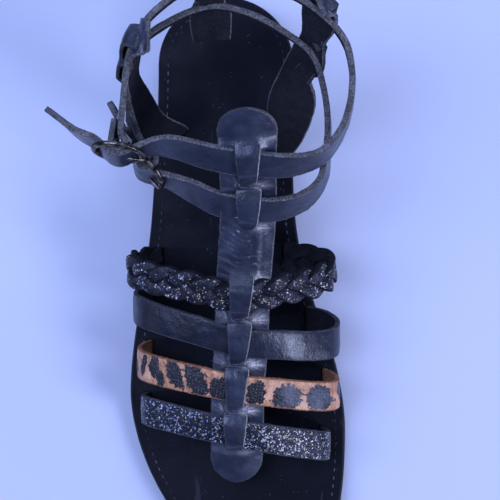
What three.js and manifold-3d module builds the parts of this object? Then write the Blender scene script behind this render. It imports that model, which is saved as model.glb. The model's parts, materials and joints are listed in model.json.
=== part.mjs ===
import * as THREE from "three";
import { mergeVertices } from "three/addons/utils/BufferGeometryUtils.js";
import Module from "manifold-3d";

// A flat leather sandal for the right foot, in millimetres.
// +Z is up, the toe points to -Y, the big toe side is +X, and the origin is on the floor
// under the middle of the heel.

const wasm = await Module();
wasm.setup();

// Driving sizes of the sole
const SOLE_LENGTH = 238;
const BALL_WIDTH = 87.5;
const HEEL_WIDTH = 54.6;
const OUTSOLE_THICKNESS = 4.5;
const FOOTBED_THICKNESS = 3.2;
const HEEL_LIFT = 7;
const TOE_SPRING = 5.5;
const FOOTBED_INSET = 0.8;
const HEEL_INSET = 1.2;
const HEEL_LENGTH = 60;

// Driving sizes of the foot that the straps go round: the lower ankle strap over the footbed,
// and the upper one over the lower one
const INSTEP_HEIGHT = 57;
const ANKLE_STRAP_RISE = 12;

// Leather strips
const CROSS_STRAP_WIDTH = 11.6;
const CROSS_STRAP_THICKNESS = 1.9;
const BRAID_WIDTH = 12.6;
const BRAID_THICKNESS = 4.6;
const BRAID_STRAND_WIDTH = 5.4;
const BRAID_STRAND_THICKNESS = 2.6;
const BRAID_PLAIT_LENGTH = 21;
const ANKLE_STRAP_WIDTH = 11;
const ANKLE_STRAP_THICKNESS = 2.2;
const SPINE_WIDTH = 20.5;
const SPINE_THICKNESS = 1.7;
const SPINE_DISC_WIDTH = 21.5;
const STAY_WIDTH = 15;
const STAY_THICKNESS = 1.7;
const BRIDGE_WIDTH = 8.8;
const BRIDGE_THICKNESS = 1.6;

// Buckles
const BUCKLE_LENGTH = 20;
const BUCKLE_WIDTH = 17.4;
const BUCKLE_WIRE_WIDTH = 2.5;
const BUCKLE_WIRE_THICKNESS = 2;
const BUCKLE_BAR_RADIUS = 0.9;
const BUCKLE_BAR_DROP = 1.6;
const PRONG_RADIUS = 0.65;

// Fits: the gap between pieces that touch, and how far strips of the upper sink into each other
const FIT_GAP = 0.3;
const SEAM_SINK = 0.25;

// How far a strip's end stays above the outsole, which slopes under it
const FOOT_CLEARANCE = 1.2;

const HEEL_RADIUS = HEEL_WIDTH / 2;
const HALF_BALL = BALL_WIDTH / 2;
const ANKLE_HEIGHT = INSTEP_HEIGHT + ANKLE_STRAP_RISE;
const STACK = OUTSOLE_THICKNESS + FIT_GAP + FOOTBED_THICKNESS;

// The sole's outline: along from the heel's back, as a share of its length, and the lateral
// and medial edge as shares of half the heel width or half the ball width
const OUTLINE = [
  { along: 0.1144, half: HEEL_RADIUS, lateral: -1, medial: 1 },
  { along: 0.1838, half: HEEL_RADIUS, lateral: -1.01, medial: 0.994 },
  { along: 0.2961, half: HEEL_RADIUS, lateral: -1.058, medial: 0.989 },
  { along: 0.3819, half: HALF_BALL, lateral: -0.693, medial: 0.645 },
  { along: 0.4492, half: HALF_BALL, lateral: -0.74, medial: 0.71 },
  { along: 0.5177, half: HALF_BALL, lateral: -0.805, medial: 0.818 },
  { along: 0.6065, half: HALF_BALL, lateral: -0.875, medial: 0.994 },
  { along: 0.6698, half: HALF_BALL, lateral: -0.896, medial: 1.074 },
  { along: 0.7351, half: HALF_BALL, lateral: -0.888, medial: 1.108 },
];
const TOE_TIP_ACROSS = 0.55;
const TOE_LATERAL = { from: 0.6698, power: 1.76 };
const TOE_MEDIAL = { from: 0.7351, power: 2.27 };

// How high the sole is carried. Between the heel's front and the ball it comes down by shares
// of the heel lift, lies flat as far as the toes, and then rises by shares of the toe spring.
const FLAT_FROM = 0.6;
const FLAT_TO = 0.755;
const SHANK = [
  { share: 0, heel: 1 },
  { share: 0.235, heel: 0.93 },
  { share: 0.51, heel: 0.66 },
  { share: 0.74, heel: 0.27 },
  { share: 0.915, heel: 0.05 },
  { share: 1, heel: 0 },
];
const TOE_RISE = [
  { share: 0, toe: 0 },
  { share: 0.225, toe: 0.1 },
  { share: 0.51, toe: 0.4 },
  { share: 0.8, toe: 0.76 },
  { share: 1, toe: 1 },
];

// The four straps over the forefoot. Each rises from its lateral slot to where it bulges out
// most, goes over its crest and comes down the same way. Crest height is a share of the
// instep height.
const CROSS_STRAPS = [
  {
    name: "glitter",
    crest: { along: 0.7256, across: 0.105, up: 0.49 },
    lateral: { slot: { along: 0.694, across: -0.73 }, bulge: { along: 0.693, across: -0.745 } },
    medial: { slot: { along: 0.753, across: 0.89 }, bulge: { along: 0.7535, across: 0.925 } },
  },
  {
    name: "animal_print",
    crest: { along: 0.6504, across: 0.114, up: 0.596 },
    lateral: { slot: { along: 0.606, across: -0.705 }, bulge: { along: 0.619, across: -0.775 } },
    medial: { slot: { along: 0.655, across: 0.91 }, bulge: { along: 0.6714, across: 1.01 } },
  },
  {
    name: "plain",
    crest: { along: 0.5756, across: 0.142, up: 0.684 },
    lateral: { slot: { along: 0.512, across: -0.69 }, bulge: { along: 0.528, across: -0.805 } },
    medial: { slot: { along: 0.5475, across: 0.75 }, bulge: { along: 0.5857, across: 1.01 } },
  },
  {
    name: "braid",
    crest: { along: 0.5021, across: 0.16, up: 0.807 },
    lateral: { slot: { along: 0.4466, across: -0.61 }, bulge: { along: 0.466, across: -0.83 } },
    medial: { slot: { along: 0.4399, across: 0.55 }, bulge: { along: 0.4739, across: 0.945 } },
  },
];

// A cross strap's rise from slot to crest: up is a share of the crest's height, out and fore
// of the way across and along from slot to bulge, and over of the way from there to the crest
const ARCH = [
  { up: 0.06, out: 0.05, fore: 0, over: 0 },
  { up: 0.24, out: 0.66, fore: 0.2, over: 0 },
  { up: 0.46, out: 0.96, fore: 0.55, over: 0 },
  { up: 0.64, out: 1, fore: 0.84, over: 0.06 },
  { up: 0.8, out: 1, fore: 1, over: 0.27 },
  { up: 0.95, out: 1, fore: 1, over: 0.58 },
];

// The ankle straps, from the tail through the buckle, under the spine's bridge, round the
// heel and back to the buckle's bar. Across is a share of half the heel width, up of the
// strap's own crest height and width of the strap's width. Lean turns the top edge inwards,
// in degrees.
const UPPER_STRAP = [
  { along: 0.2159, across: -2.319, up: 0.855, lean: 0, width: 0.45 },
  { along: 0.2307, across: -2.147, up: 0.875, lean: 0, width: 1 },
  { along: 0.2522, across: -1.907, up: 0.9, lean: 5, width: 1 },
  { along: 0.2719, across: -1.675, up: 0.928, lean: 12, width: 1, rim: true },
  { along: 0.2815, across: -1.37, up: 0.942, lean: 18, width: 1, bar: true },
  { along: 0.2815, across: -1.04, up: 0.957, lean: 25, width: 1, rim: true },
  { along: 0.2736, across: -0.7, up: 0.971, lean: 38, width: 1 },
  { along: 0.2882, across: -0.205, up: 0.986, lean: 48, width: 1 },
  { along: 0.2987, across: 0.316, up: 1, lean: 50, width: 1, spine: true },
  { along: 0.3017, across: 0.872, up: 1, lean: 40, width: 1 },
  { along: 0.2886, across: 1.285, up: 1.014, lean: 22, width: 1 },
  { along: 0.2505, across: 1.542, up: 1.029, lean: 8, width: 1 },
  { along: 0.2068, across: 1.652, up: 1.058, lean: 4, width: 1 },
  { along: 0.1631, across: 1.663, up: 1.072, lean: 4, width: 1 },
  { along: 0.1223, across: 1.572, up: 1.087, lean: 4, width: 1 },
  { along: 0.0836, across: 1.274, up: 1.101, lean: 5, width: 1, stay: "medial" },
  { along: 0.0504, across: 0.801, up: 1.116, lean: 5, width: 1 },
  { along: 0.0347, across: -0.176, up: 1.13, lean: 5, width: 1, stay: "back" },
  { along: 0.0798, across: -0.861, up: 1.116, lean: 5, width: 1 },
  { along: 0.1269, across: -1.157, up: 1.087, lean: 8, width: 1, stay: "lateral" },
  { along: 0.1764, across: -1.26, up: 1.04, lean: 6, width: 1 },
  { along: 0.2197, across: -1.311, up: 0.99, lean: 6, width: 1 },
  { along: 0.2501, across: -1.346, up: 0.955, lean: 10, width: 1 },
];
const LOWER_STRAP = [
  { along: 0.2008, across: -1.538, up: 0.74, lean: 0, width: 0.45 },
  { along: 0.2144, across: -1.474, up: 0.77, lean: 0, width: 1 },
  { along: 0.2471, across: -1.314, up: 0.82, lean: 4, width: 1 },
  { along: 0.275, across: -1.194, up: 0.877, lean: 10, width: 1, rim: true },
  { along: 0.301, across: -1.042, up: 0.912, lean: 18, width: 1, bar: true },
  { along: 0.322, across: -0.801, up: 0.935, lean: 28, width: 1, rim: true },
  { along: 0.3369, across: -0.433, up: 0.965, lean: 40, width: 1 },
  { along: 0.3563, across: -0.085, up: 0.982, lean: 48, width: 1 },
  { along: 0.3659, across: 0.325, up: 1, lean: 50, width: 1, spine: true },
  { along: 0.3659, across: 0.726, up: 1, lean: 44, width: 1 },
  { along: 0.3521, across: 1.08, up: 1, lean: 30, width: 1 },
  { along: 0.3218, across: 1.308, up: 1.018, lean: 14, width: 1 },
  { along: 0.2765, across: 1.37, up: 1.035, lean: 6, width: 1 },
  { along: 0.2315, across: 1.381, up: 1.053, lean: 4, width: 1 },
  { along: 0.1865, across: 1.325, up: 1.07, lean: 4, width: 1 },
  { along: 0.1345, across: 1.168, up: 1.088, lean: 4, width: 1, stay: "medial" },
  { along: 0.1005, across: 0.801, up: 1.105, lean: 4, width: 1 },
  { along: 0.0739, across: 0.321, up: 1.123, lean: 4, width: 1 },
  { along: 0.0647, across: -0.176, up: 1.123, lean: 4, width: 1, stay: "back" },
  { along: 0.1006, across: -0.913, up: 1.11, lean: 4, width: 1 },
  { along: 0.1488, across: -1.253, up: 1.07, lean: 6, width: 1, stay: "lateral" },
  { along: 0.1925, across: -1.282, up: 1, lean: 6, width: 1 },
  { along: 0.245, across: -1.178, up: 0.95, lean: 8, width: 1 },
  { along: 0.2736, across: -1.066, up: 0.925, lean: 12, width: 1 },
];

// The side stays below the lower ankle strap: foot in its slot, then up the ankle. Across is
// a share of half the heel width, up of the instep height and width of the stay's width. Turn
// is how far the strip is turned inwards from the sole's length, in degrees.
const STAY_FEET = {
  medial: [
    { along: 0.2576, across: 0.715, up: 0.02, turn: 50, width: 0.92 },
    { along: 0.232, across: 0.849, up: 0.22, turn: 62, width: 1.08 },
    { along: 0.187, across: 0.946, up: 0.52, turn: 72, width: 1.22 },
    { along: 0.146, across: 0.994, up: 0.8, turn: 55, width: 0.74 },
  ],
  lateral: [
    { along: 0.2408, across: -0.753, up: 0.02, turn: 45, width: 0.92 },
    { along: 0.228, across: -1.058, up: 0.2, turn: 40, width: 1 },
    { along: 0.195, across: -1.226, up: 0.47, turn: 28, width: 1 },
    { along: 0.17, across: -1.234, up: 0.76, turn: 15, width: 0.78 },
  ],
  back: [],
};

// What stands above the upper strap, and at the back hangs below the lower one. Rise is
// along the stay and lean inwards, both as shares of the ankle strap's width.
const STAY_TOP = [
  { rise: 0.72, lean: 0.06, width: 0.9 },
  { rise: 1, lean: 0.3, width: 0.72 },
];
const BACK_TAIL = [
  { rise: -1.15, lean: 0.2, width: 0.92 },
  { rise: -0.75, lean: 0.05, width: 1 },
];
const BACK_SLIT_WIDTH = 2.4;
const BACK_SLIT_ROWS = 1.2;
const WAIST_SHARE = 0.7;

// A bridge over a strap: run in half strap widths from its middle, lift as a share of the
// strap's thickness and the bridge's own, width of the bridge's width
const BRIDGE = [
  { run: -1.5, lift: -0.4, width: 0.62 },
  { run: -0.95, lift: 0.7, width: 0.78 },
  { run: 0, lift: 1.05, width: 0.98 },
  { run: 0.95, lift: 0.75, width: 1.1 },
  { run: 1.35, lift: -0.35, width: 1.12 },
];

// Sections across a strip, in shares of its width and thickness
const STRIP = [
  [-0.5, -0.5],
  [0.5, -0.5],
  [0.5, 0.2],
  [0.42, 0.5],
  [-0.42, 0.5],
  [-0.5, 0.2],
];
const BOX = [
  [-0.5, -0.5],
  [0.5, -0.5],
  [0.5, 0.5],
  [-0.5, 0.5],
];
function round(sides) {
  return Array.from({ length: sides }, (_, i) => {
    const angle = (2 * Math.PI * (i + 0.5)) / sides;
    return [0.5 * Math.cos(angle), 0.5 * Math.sin(angle)];
  });
}

function vector(x, y, z) {
  return new THREE.Vector3(x, y, z);
}

// The value of one column of a table at a place along it, on a smooth curve
function read(table, column, along) {
  const last = table.length - 1;
  if (along <= table[0].along) return table[0][column];
  if (along >= table[last].along) return table[last][column];
  const i = table.findIndex((row) => row.along > along) - 1;
  const a = table[i];
  const b = table[i + 1];
  const before = table[Math.max(i - 1, 0)];
  const after = table[Math.min(i + 2, last)];
  const span = b.along - a.along;
  const slopeA = (b[column] - before[column]) / (b.along - before.along);
  const slopeB = (after[column] - a[column]) / (after.along - a.along);
  const flat = a[column] === b[column];
  const t = (along - a.along) / span;
  const tt = t * t;
  const ttt = tt * t;
  const start = flat || a[column] === before[column] ? 0 : slopeA;
  const end = flat || b[column] === after[column] ? 0 : slopeB;
  return (
    (2 * ttt - 3 * tt + 1) * a[column] +
    (ttt - 2 * tt + t) * span * start +
    (3 * tt - 2 * ttt) * b[column] +
    (ttt - tt) * span * end
  );
}

const outline = OUTLINE.map(({ along, half, lateral, medial }) => ({
  along,
  lateral: lateral * half,
  medial: medial * half,
}));

function toeEdge(side, edge, along) {
  const tip = TOE_TIP_ACROSS * HALF_BALL;
  const base = read(outline, edge, side.from) - tip;
  const t = Math.min((along - side.from) / (1 - side.from), 1);
  return tip + base * (1 - t ** side.power) ** (1 / side.power);
}

// Both edges of the sole at a place along it, in millimetres. The heel's back is a half circle.
function edges(along) {
  const back = Math.min((along * SOLE_LENGTH) / HEEL_RADIUS, 1);
  const arc = Math.sqrt(1 - (1 - back) ** 2);
  const edge = (toe, side) =>
    along > toe.from ? toeEdge(toe, side, along) : read(outline, side, along) * arc;
  return { lateral: edge(TOE_LATERAL, "lateral"), medial: edge(TOE_MEDIAL, "medial") };
}

const heelEnd = HEEL_LENGTH / SOLE_LENGTH;
const shank = SHANK.map(({ share, heel }) => ({
  along: heelEnd + (FLAT_FROM - heelEnd) * share,
  heel,
}));
const toeRise = TOE_RISE.map(({ share, toe }) => ({ along: FLAT_TO + (1 - FLAT_TO) * share, toe }));

function carry(along) {
  return HEEL_LIFT * read(shank, "heel", along) + TOE_SPRING * read(toeRise, "toe", along);
}

function footbedTop(along) {
  return carry(along) + STACK;
}

function yAt(along) {
  return HEEL_RADIUS - along * SOLE_LENGTH;
}

function alongAt(y) {
  return (HEEL_RADIUS - y) / SOLE_LENGTH;
}

// A closed solid through rings of points. A loop joins its last ring to its first.
function loft(rings, loop = false) {
  const size = rings[0].length;
  const positions = rings.flat().flatMap((p) => [p.x, p.y, p.z]);
  const index = [];
  const spans = loop ? rings.length : rings.length - 1;
  for (let i = 0; i < spans; i++) {
    const here = i * size;
    const next = ((i + 1) % rings.length) * size;
    for (let j = 0; j < size; j++) {
      const k = (j + 1) % size;
      index.push(here + j, here + k, next + k);
      index.push(here + j, next + k, next + j);
    }
  }
  if (!loop) {
    const end = (rings.length - 1) * size;
    for (let j = 1; j < size - 1; j++) {
      index.push(0, j + 1, j);
      index.push(end, end + j, end + j + 1);
    }
  }
  const geometry = new THREE.BufferGeometry();
  geometry.setAttribute("position", new THREE.Float32BufferAttribute(positions, 3));
  geometry.setIndex(index);
  return solid(geometry);
}

const MERGE_DISTANCE = 1e-4;
function solid(geometry) {
  geometry.deleteAttribute("normal");
  geometry.deleteAttribute("uv");
  const merged = mergeVertices(geometry, MERGE_DISTANCE);
  const mesh = new wasm.Mesh({
    numProp: 3,
    vertProperties: new Float32Array(merged.attributes.position.array),
    triVerts: new Uint32Array(merged.index.array),
  });
  const made = new wasm.Manifold(mesh);
  if (made.volume() > 0) return made;
  const turned = new Uint32Array(merged.index.array);
  for (let i = 0; i < turned.length; i += 3) {
    [turned[i + 1], turned[i + 2]] = [turned[i + 2], turned[i + 1]];
  }
  mesh.triVerts = turned;
  return new wasm.Manifold(mesh);
}

// One layer of the sole between two heights. Its side is a table of how deep each line is,
// as a share of the layer, and how far it is cut in.
function soleLayer({ from, to, steps, inset, side, top, bottom }) {
  const half = (edge, middle, cut) => middle + (edge - middle) * (1 - cut / HALF_BALL);
  const rings = [];
  for (let i = 0; i <= steps; i++) {
    const share = 0.5 - 0.5 * Math.cos((Math.PI * i) / steps);
    const along = from + (to - from) * share;
    const { lateral, medial } = edges(along);
    const middle = (lateral + medial) / 2;
    const inY = 1 - (2 * inset) / SOLE_LENGTH;
    const y = yAt(0.5 + (along - 0.5) * inY);
    const high = top(along);
    const low = bottom(along);
    const line = side.map(({ deep, cut }) => ({ z: high + (low - high) * deep, cut: cut + inset }));
    const right = line.map(({ z, cut }) => vector(half(medial, middle, cut), y, z));
    const left = line.map(({ z, cut }) => vector(half(lateral, middle, cut), y, z));
    rings.push([...right, ...left.reverse()]);
  }
  return loft(rings);
}

const END = 0.0015;
const outsole = soleLayer({
  from: END,
  to: 1 - END,
  steps: 34,
  inset: 0,
  side: [
    { deep: 0, cut: 0 },
    { deep: 0.55, cut: 0 },
    { deep: 0.65, cut: 0.7 },
    { deep: 1, cut: 1.2 },
  ],
  top: (along) => carry(along) + OUTSOLE_THICKNESS,
  bottom: carry,
});

const heel = soleLayer({
  from: END,
  to: HEEL_LENGTH / SOLE_LENGTH,
  steps: 12,
  inset: HEEL_INSET,
  side: [
    { deep: 0, cut: 0 },
    { deep: 0.44, cut: 0 },
    { deep: 0.5, cut: 0.6 },
    { deep: 0.56, cut: 0 },
    { deep: 1, cut: 0.5 },
  ],
  top: () => HEEL_LIFT - FIT_GAP,
  bottom: () => 0,
});

const footbedSheet = soleLayer({
  from: END,
  to: 1 - END,
  steps: 34,
  inset: FOOTBED_INSET,
  side: [
    { deep: 0, cut: 0.9 },
    { deep: 0.28, cut: 0 },
    { deep: 1, cut: 0 },
  ],
  top: footbedTop,
  bottom: (along) => footbedTop(along) - FOOTBED_THICKNESS,
});

// A route is a list of rows with a point, the direction across the strip, a width and a
// thickness. Smooth curves run through the rows.
function route(rows) {
  const size = rows.map((r) => vector(r.width, r.thickness, 0));
  return {
    count: rows.length,
    middle: new THREE.CatmullRomCurve3(rows.map((r) => r.point)),
    side: new THREE.CatmullRomCurve3(rows.map((r) => r.across)),
    size: new THREE.CatmullRomCurve3(size, false, "catmullrom"),
  };
}

// Point, directions and size of a strip at a row number, whole or between rows
function frameAt(path, row) {
  const t = row / (path.count - 1);
  const along = path.middle.getTangent(t);
  const across = path.side.getPoint(t);
  across.addScaledVector(along, -across.dot(along)).normalize();
  const size = path.size.getPoint(t);
  return {
    point: path.middle.getPoint(t),
    along,
    across,
    out: across.clone().cross(along),
    width: size.x,
    thickness: size.y,
  };
}

function offset(frame, along, across, out) {
  return frame.point
    .clone()
    .addScaledVector(frame.along, along)
    .addScaledVector(frame.across, across)
    .addScaledVector(frame.out, out);
}

function sweep(frames, section, grow = 0, loop = false) {
  const rings = frames.map((f) =>
    section.map(([a, o]) => offset(f, 0, a * (f.width + 2 * grow), o * (f.thickness + 2 * grow))),
  );
  return loft(rings, loop);
}

function framesOf(path, perRow, from = 0, to = path.count - 1) {
  const steps = Math.max(Math.round(Math.abs(to - from) * perRow), 1);
  return Array.from({ length: steps + 1 }, (_, i) => frameAt(path, from + ((to - from) * i) / steps));
}

// A point beside the ankle: height is above the footbed of the heel
function spot(row, height) {
  const z = footbedTop(0) + row.up * height;
  return vector(row.across * HEEL_RADIUS, yAt(row.along), z);
}

// The route of one cross strap, its slots included
const SLOT_DEPTH = FOOTBED_THICKNESS - FOOT_CLEARANCE;
function crossRoute(strap, width, thickness, slopeAtCrest) {
  const base = footbedTop(strap.crest.along);
  const crest = vector(
    strap.crest.across * HALF_BALL,
    yAt(strap.crest.along),
    base + strap.crest.up * INSTEP_HEIGHT,
  );
  const toe = vector(0, -1, 0);
  const rowsOf = ({ slot, bulge }) => {
    const floor = footbedTop(slot.along);
    const foot = vector(slot.across * HALF_BALL, yAt(slot.along), floor);
    const outmost = vector(bulge.across * HALF_BALL, yAt(bulge.along), floor);
    const sunk = foot.clone();
    sunk.z -= SLOT_DEPTH;
    const slotRows = [sunk, foot].map((point) => ({ point, across: toe, width, thickness }));
    const rise = ARCH.map((row) => {
      const point = foot.clone();
      point.x += (outmost.x - foot.x) * row.out;
      point.y += (outmost.y - foot.y) * row.fore;
      point.lerp(crest, row.over);
      point.z = floor + (crest.z - floor) * row.up;
      return { point, across: toe.clone().lerp(slopeAtCrest, row.over), width, thickness };
    });
    return [...slotRows, ...rise];
  };
  const lateral = rowsOf(strap.lateral);
  const medial = rowsOf(strap.medial);
  const top = { point: crest, across: slopeAtCrest.clone(), width, thickness };
  return route([...lateral, top, ...medial.reverse()]);
}

// The route of an ankle strap. Its strip hangs across its way, leaned by the row's angle.
function ankleRoute(rows, height) {
  const points = rows.map((row) => spot(row, height));
  const curve = new THREE.CatmullRomCurve3(points);
  const turned = rows.map((row, i) => {
    const along = curve.getTangent(i / (rows.length - 1));
    const flat = vector(along.x, along.y, 0).normalize();
    const outward = flat.clone().cross(vector(0, 0, 1));
    const lean = THREE.MathUtils.degToRad(row.lean);
    const across = outward.multiplyScalar(Math.sin(lean)).add(vector(0, 0, -Math.cos(lean)));
    return {
      point: points[i],
      across,
      width: row.width * ANKLE_STRAP_WIDTH,
      thickness: ANKLE_STRAP_THICKNESS,
    };
  });
  return route(turned);
}

const HALF_WIRE = BUCKLE_WIRE_THICKNESS / 2;
const STRAP_HALF = ANKLE_STRAP_THICKNESS / 2;
const RIM_DROP = HALF_WIRE + FIT_GAP + STRAP_HALF;
const FOLD_RADIUS = BUCKLE_BAR_RADIUS + FIT_GAP + STRAP_HALF;
const BAR_RISE = FOLD_RADIUS + 2 * STRAP_HALF - BUCKLE_BAR_DROP - SEAM_SINK;
const RIM_REACH = BUCKLE_LENGTH / 2 - BUCKLE_WIRE_WIDTH / 2;

// One ankle strap with its buckle: the strap is pressed in under both ends of the frame and
// humps over the folded end on the middle bar
function ankleStrap(rows, height) {
  const plain = ankleRoute(rows, height);
  const bar = rows.findIndex((row) => row.bar);
  const buckle = frameAt(plain, bar);
  const points = rows.map((row, i) => {
    const frame = frameAt(plain, i);
    if (row.bar) frame.point = offset(buckle, 0, 0, BAR_RISE);
    if (row.rim) frame.point = offset(buckle, Math.sign(i - bar) * RIM_REACH, 0, -RIM_DROP);
    if (row.rim) frame.across = buckle.across.clone();
    return frame;
  });
  const path = route(points);
  const spine = rows.findIndex((row) => row.spine);
  const stays = {};
  rows.forEach((row, i) => {
    if (row.stay) stays[row.stay] = frameAt(path, i);
  });
  const strap = sweep(framesOf(path, 2), STRIP);
  return { strap, path, buckle, crest: frameAt(path, spine), stays, fold: foldOf(path, buckle) };
}

// The strap's other end, folded round the bar: it meets the bar, turns round it and lies
// back on itself
const FOLD_STEPS = 7;
const FOLD_RETURN = 9;
function foldOf(path, buckle) {
  const last = frameAt(path, path.count - 1);
  const bar = offset(buckle, 0, 0, -BUCKLE_BAR_DROP);
  const back = last.point.clone().sub(bar);
  back.addScaledVector(buckle.across, -back.dot(buckle.across)).normalize();
  const sideways = buckle.across.clone().cross(back);
  const turn = (angle, reach) => ({
    point: bar
      .clone()
      .addScaledVector(back, reach - FOLD_RADIUS * Math.sin(angle))
      .addScaledVector(sideways, FOLD_RADIUS * Math.cos(angle)),
    across: buckle.across.clone(),
    width: ANKLE_STRAP_WIDTH,
    thickness: ANKLE_STRAP_THICKNESS,
  });
  const rows = [last];
  rows.push(turn(0, FOLD_RADIUS));
  for (let i = 0; i <= FOLD_STEPS; i++) rows.push(turn((Math.PI * i) / FOLD_STEPS, 0));
  rows.push(turn(Math.PI, FOLD_RETURN));
  return sweep(framesOf(route(rows), 1), BOX);
}

const upperStrap = ankleStrap(UPPER_STRAP, ANKLE_HEIGHT);
const lowerStrap = ankleStrap(LOWER_STRAP, INSTEP_HEIGHT);

// The crests that the spine runs under, from toe to ankle, and its slope at each
const crestPoints = [
  ...CROSS_STRAPS.map((strap) =>
    vector(
      strap.crest.across * HALF_BALL,
      yAt(strap.crest.along),
      footbedTop(strap.crest.along) + strap.crest.up * INSTEP_HEIGHT,
    ),
  ),
  lowerStrap.crest.point,
  upperStrap.crest.point,
];
const crestLine = new THREE.CatmullRomCurve3(crestPoints);
const crestSlope = (i) => crestLine.getTangent(i / (crestPoints.length - 1)).negate();

const crossStraps = CROSS_STRAPS.map((strap, i) => {
  const braided = strap.name === "braid";
  const width = braided ? BRAID_WIDTH : CROSS_STRAP_WIDTH;
  const thickness = braided ? BRAID_THICKNESS : CROSS_STRAP_THICKNESS;
  const path = crossRoute(strap, width, thickness, crestSlope(i));
  return { ...strap, path, width, thickness, crestFrame: frameAt(path, (path.count - 1) / 2) };
});

// Three flat strands that cross over each other, as one wall with the strands raised: its
// top follows the highest strand, and its edges the outermost one
const BRAID_TOP_POINTS = 6;
const BRAID_SHOULDER = 4;
const SLOT_ROWS = 2.5;
const BRAID_OVERLAP_ROWS = 0.25;
function braid(path) {
  const start = SLOT_ROWS - BRAID_OVERLAP_ROWS;
  const frames = framesOf(path, 4, start, path.count - 1 - start);
  const reach = (BRAID_WIDTH - BRAID_STRAND_WIDTH) / 2;
  const lift = (BRAID_THICKNESS - BRAID_STRAND_THICKNESS) / 2;
  const half = BRAID_STRAND_WIDTH / 2;
  let length = 0;
  const rings = frames.map((frame, i) => {
    if (i) length += frame.point.distanceTo(frames[i - 1].point);
    const strands = [0, 1, 2].map((strand) => {
      const angle = 2 * Math.PI * (length / BRAID_PLAIT_LENGTH + strand / 3);
      return { at: reach * Math.sin(angle), high: lift * Math.sin(2 * angle) };
    });
    const low = Math.min(...strands.map((s) => s.at)) - half;
    const high = Math.max(...strands.map((s) => s.at)) + half;
    const top = (a) =>
      Math.max(
        ...strands.map((s) => {
          const round = Math.sqrt(Math.max(1 - ((a - s.at) / half) ** 2, 0));
          return s.high * Math.min(BRAID_SHOULDER * round, 1) + (BRAID_STRAND_THICKNESS / 2) * round;
        }),
      );
    const ring = [offset(frame, 0, low, -BRAID_STRAND_THICKNESS / 2)];
    ring.push(offset(frame, 0, high, -BRAID_STRAND_THICKNESS / 2));
    for (let j = BRAID_TOP_POINTS - 1; j >= 0; j--) {
      const a = low + ((high - low) * j) / (BRAID_TOP_POINTS - 1);
      ring.push(offset(frame, 0, a, top(a)));
    }
    return ring;
  });
  const last = path.count - 1;
  const ends = [framesOf(path, 2, 0, SLOT_ROWS), framesOf(path, 2, last, last - SLOT_ROWS)];
  return [loft(rings), ...ends.map((end) => sweep(end.map(slimmed), BOX))];
}

function slimmed(frame) {
  const width = frame.width - BRAID_STRAND_WIDTH / 2;
  return { ...frame, width, thickness: BRAID_STRAND_THICKNESS };
}

// The spine: a round toe end, a row under each crest and a round disc at the top
const TOE_END_SHARE = 1.25;
const TOE_END_DIP = 0.12;
const DISC_SHARE = 1;
const ROUND_STEPS = 4;
const ROUND_TURN = 0.46 * Math.PI;
const sideways = vector(1, 0, 0);
// A row of the spine where it lies under a crossing strap
function under(frame, strapThickness) {
  const drop = (strapThickness + SPINE_THICKNESS) / 2 - SEAM_SINK;
  return {
    point: offset(frame, 0, 0, -drop),
    across: sideways,
    width: SPINE_WIDTH,
    thickness: SPINE_THICKNESS,
  };
}

const underCrests = [
  ...crossStraps.map((s) => under(s.crestFrame, s.thickness)),
  under(lowerStrap.crest, ANKLE_STRAP_THICKNESS),
  under(upperStrap.crest, ANKLE_STRAP_THICKNESS),
];

// The rows of a round end: its middle lies past the last crest by a share of its radius
function roundEnd(row, direction, radius, share) {
  const rows = [];
  for (let i = 0; i < ROUND_STEPS; i++) {
    const angle = (ROUND_TURN * i) / (ROUND_STEPS - 1);
    rows.push({
      ...row,
      point: row.point.clone().addScaledVector(direction, radius * (share + Math.sin(angle))),
      width: 2 * radius * Math.cos(angle),
    });
  }
  return rows;
}

const first = underCrests[0];
const last = underCrests[underCrests.length - 1];
const toeWay = first.point.clone().sub(underCrests[1].point).normalize();
toeWay.z -= TOE_END_DIP;
toeWay.normalize();
const discWay = last.point.clone().sub(underCrests[underCrests.length - 2].point).normalize();
const spineRows = [
  ...roundEnd(first, toeWay, SPINE_WIDTH / 2, TOE_END_SHARE).reverse(),
  ...underCrests,
  ...roundEnd(last, discWay, SPINE_DISC_WIDTH / 2, DISC_SHARE),
];
const spinePath = route(spineRows);
const spine = sweep(framesOf(spinePath, 2), STRIP);

// A bridge over a strap where it crosses a strip
function bridge(frame, way, strapWidth, strapThickness) {
  const lift = (strapThickness + BRIDGE_THICKNESS) / 2 - SEAM_SINK;
  const sideways = way.clone().cross(frame.out);
  const rows = BRIDGE.map((row) => ({
    point: frame.point
      .clone()
      .addScaledVector(way, (row.run * strapWidth) / 2)
      .addScaledVector(frame.out, row.lift * lift),
    across: sideways,
    width: row.width * BRIDGE_WIDTH,
    thickness: BRIDGE_THICKNESS,
  }));
  return sweep(framesOf(route(rows), 1), STRIP);
}

const spineCrossings = [
  ...crossStraps.map((s) => ({ frame: s.crestFrame, width: s.width, thickness: s.thickness })),
  ...[lowerStrap, upperStrap].map((s) => ({
    frame: s.crest,
    width: ANKLE_STRAP_WIDTH,
    thickness: ANKLE_STRAP_THICKNESS,
  })),
];
const spineBridges = spineCrossings.map(({ frame, width, thickness }, i) =>
  bridge(frame, crestSlope(i).negate(), width, thickness),
);

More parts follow.
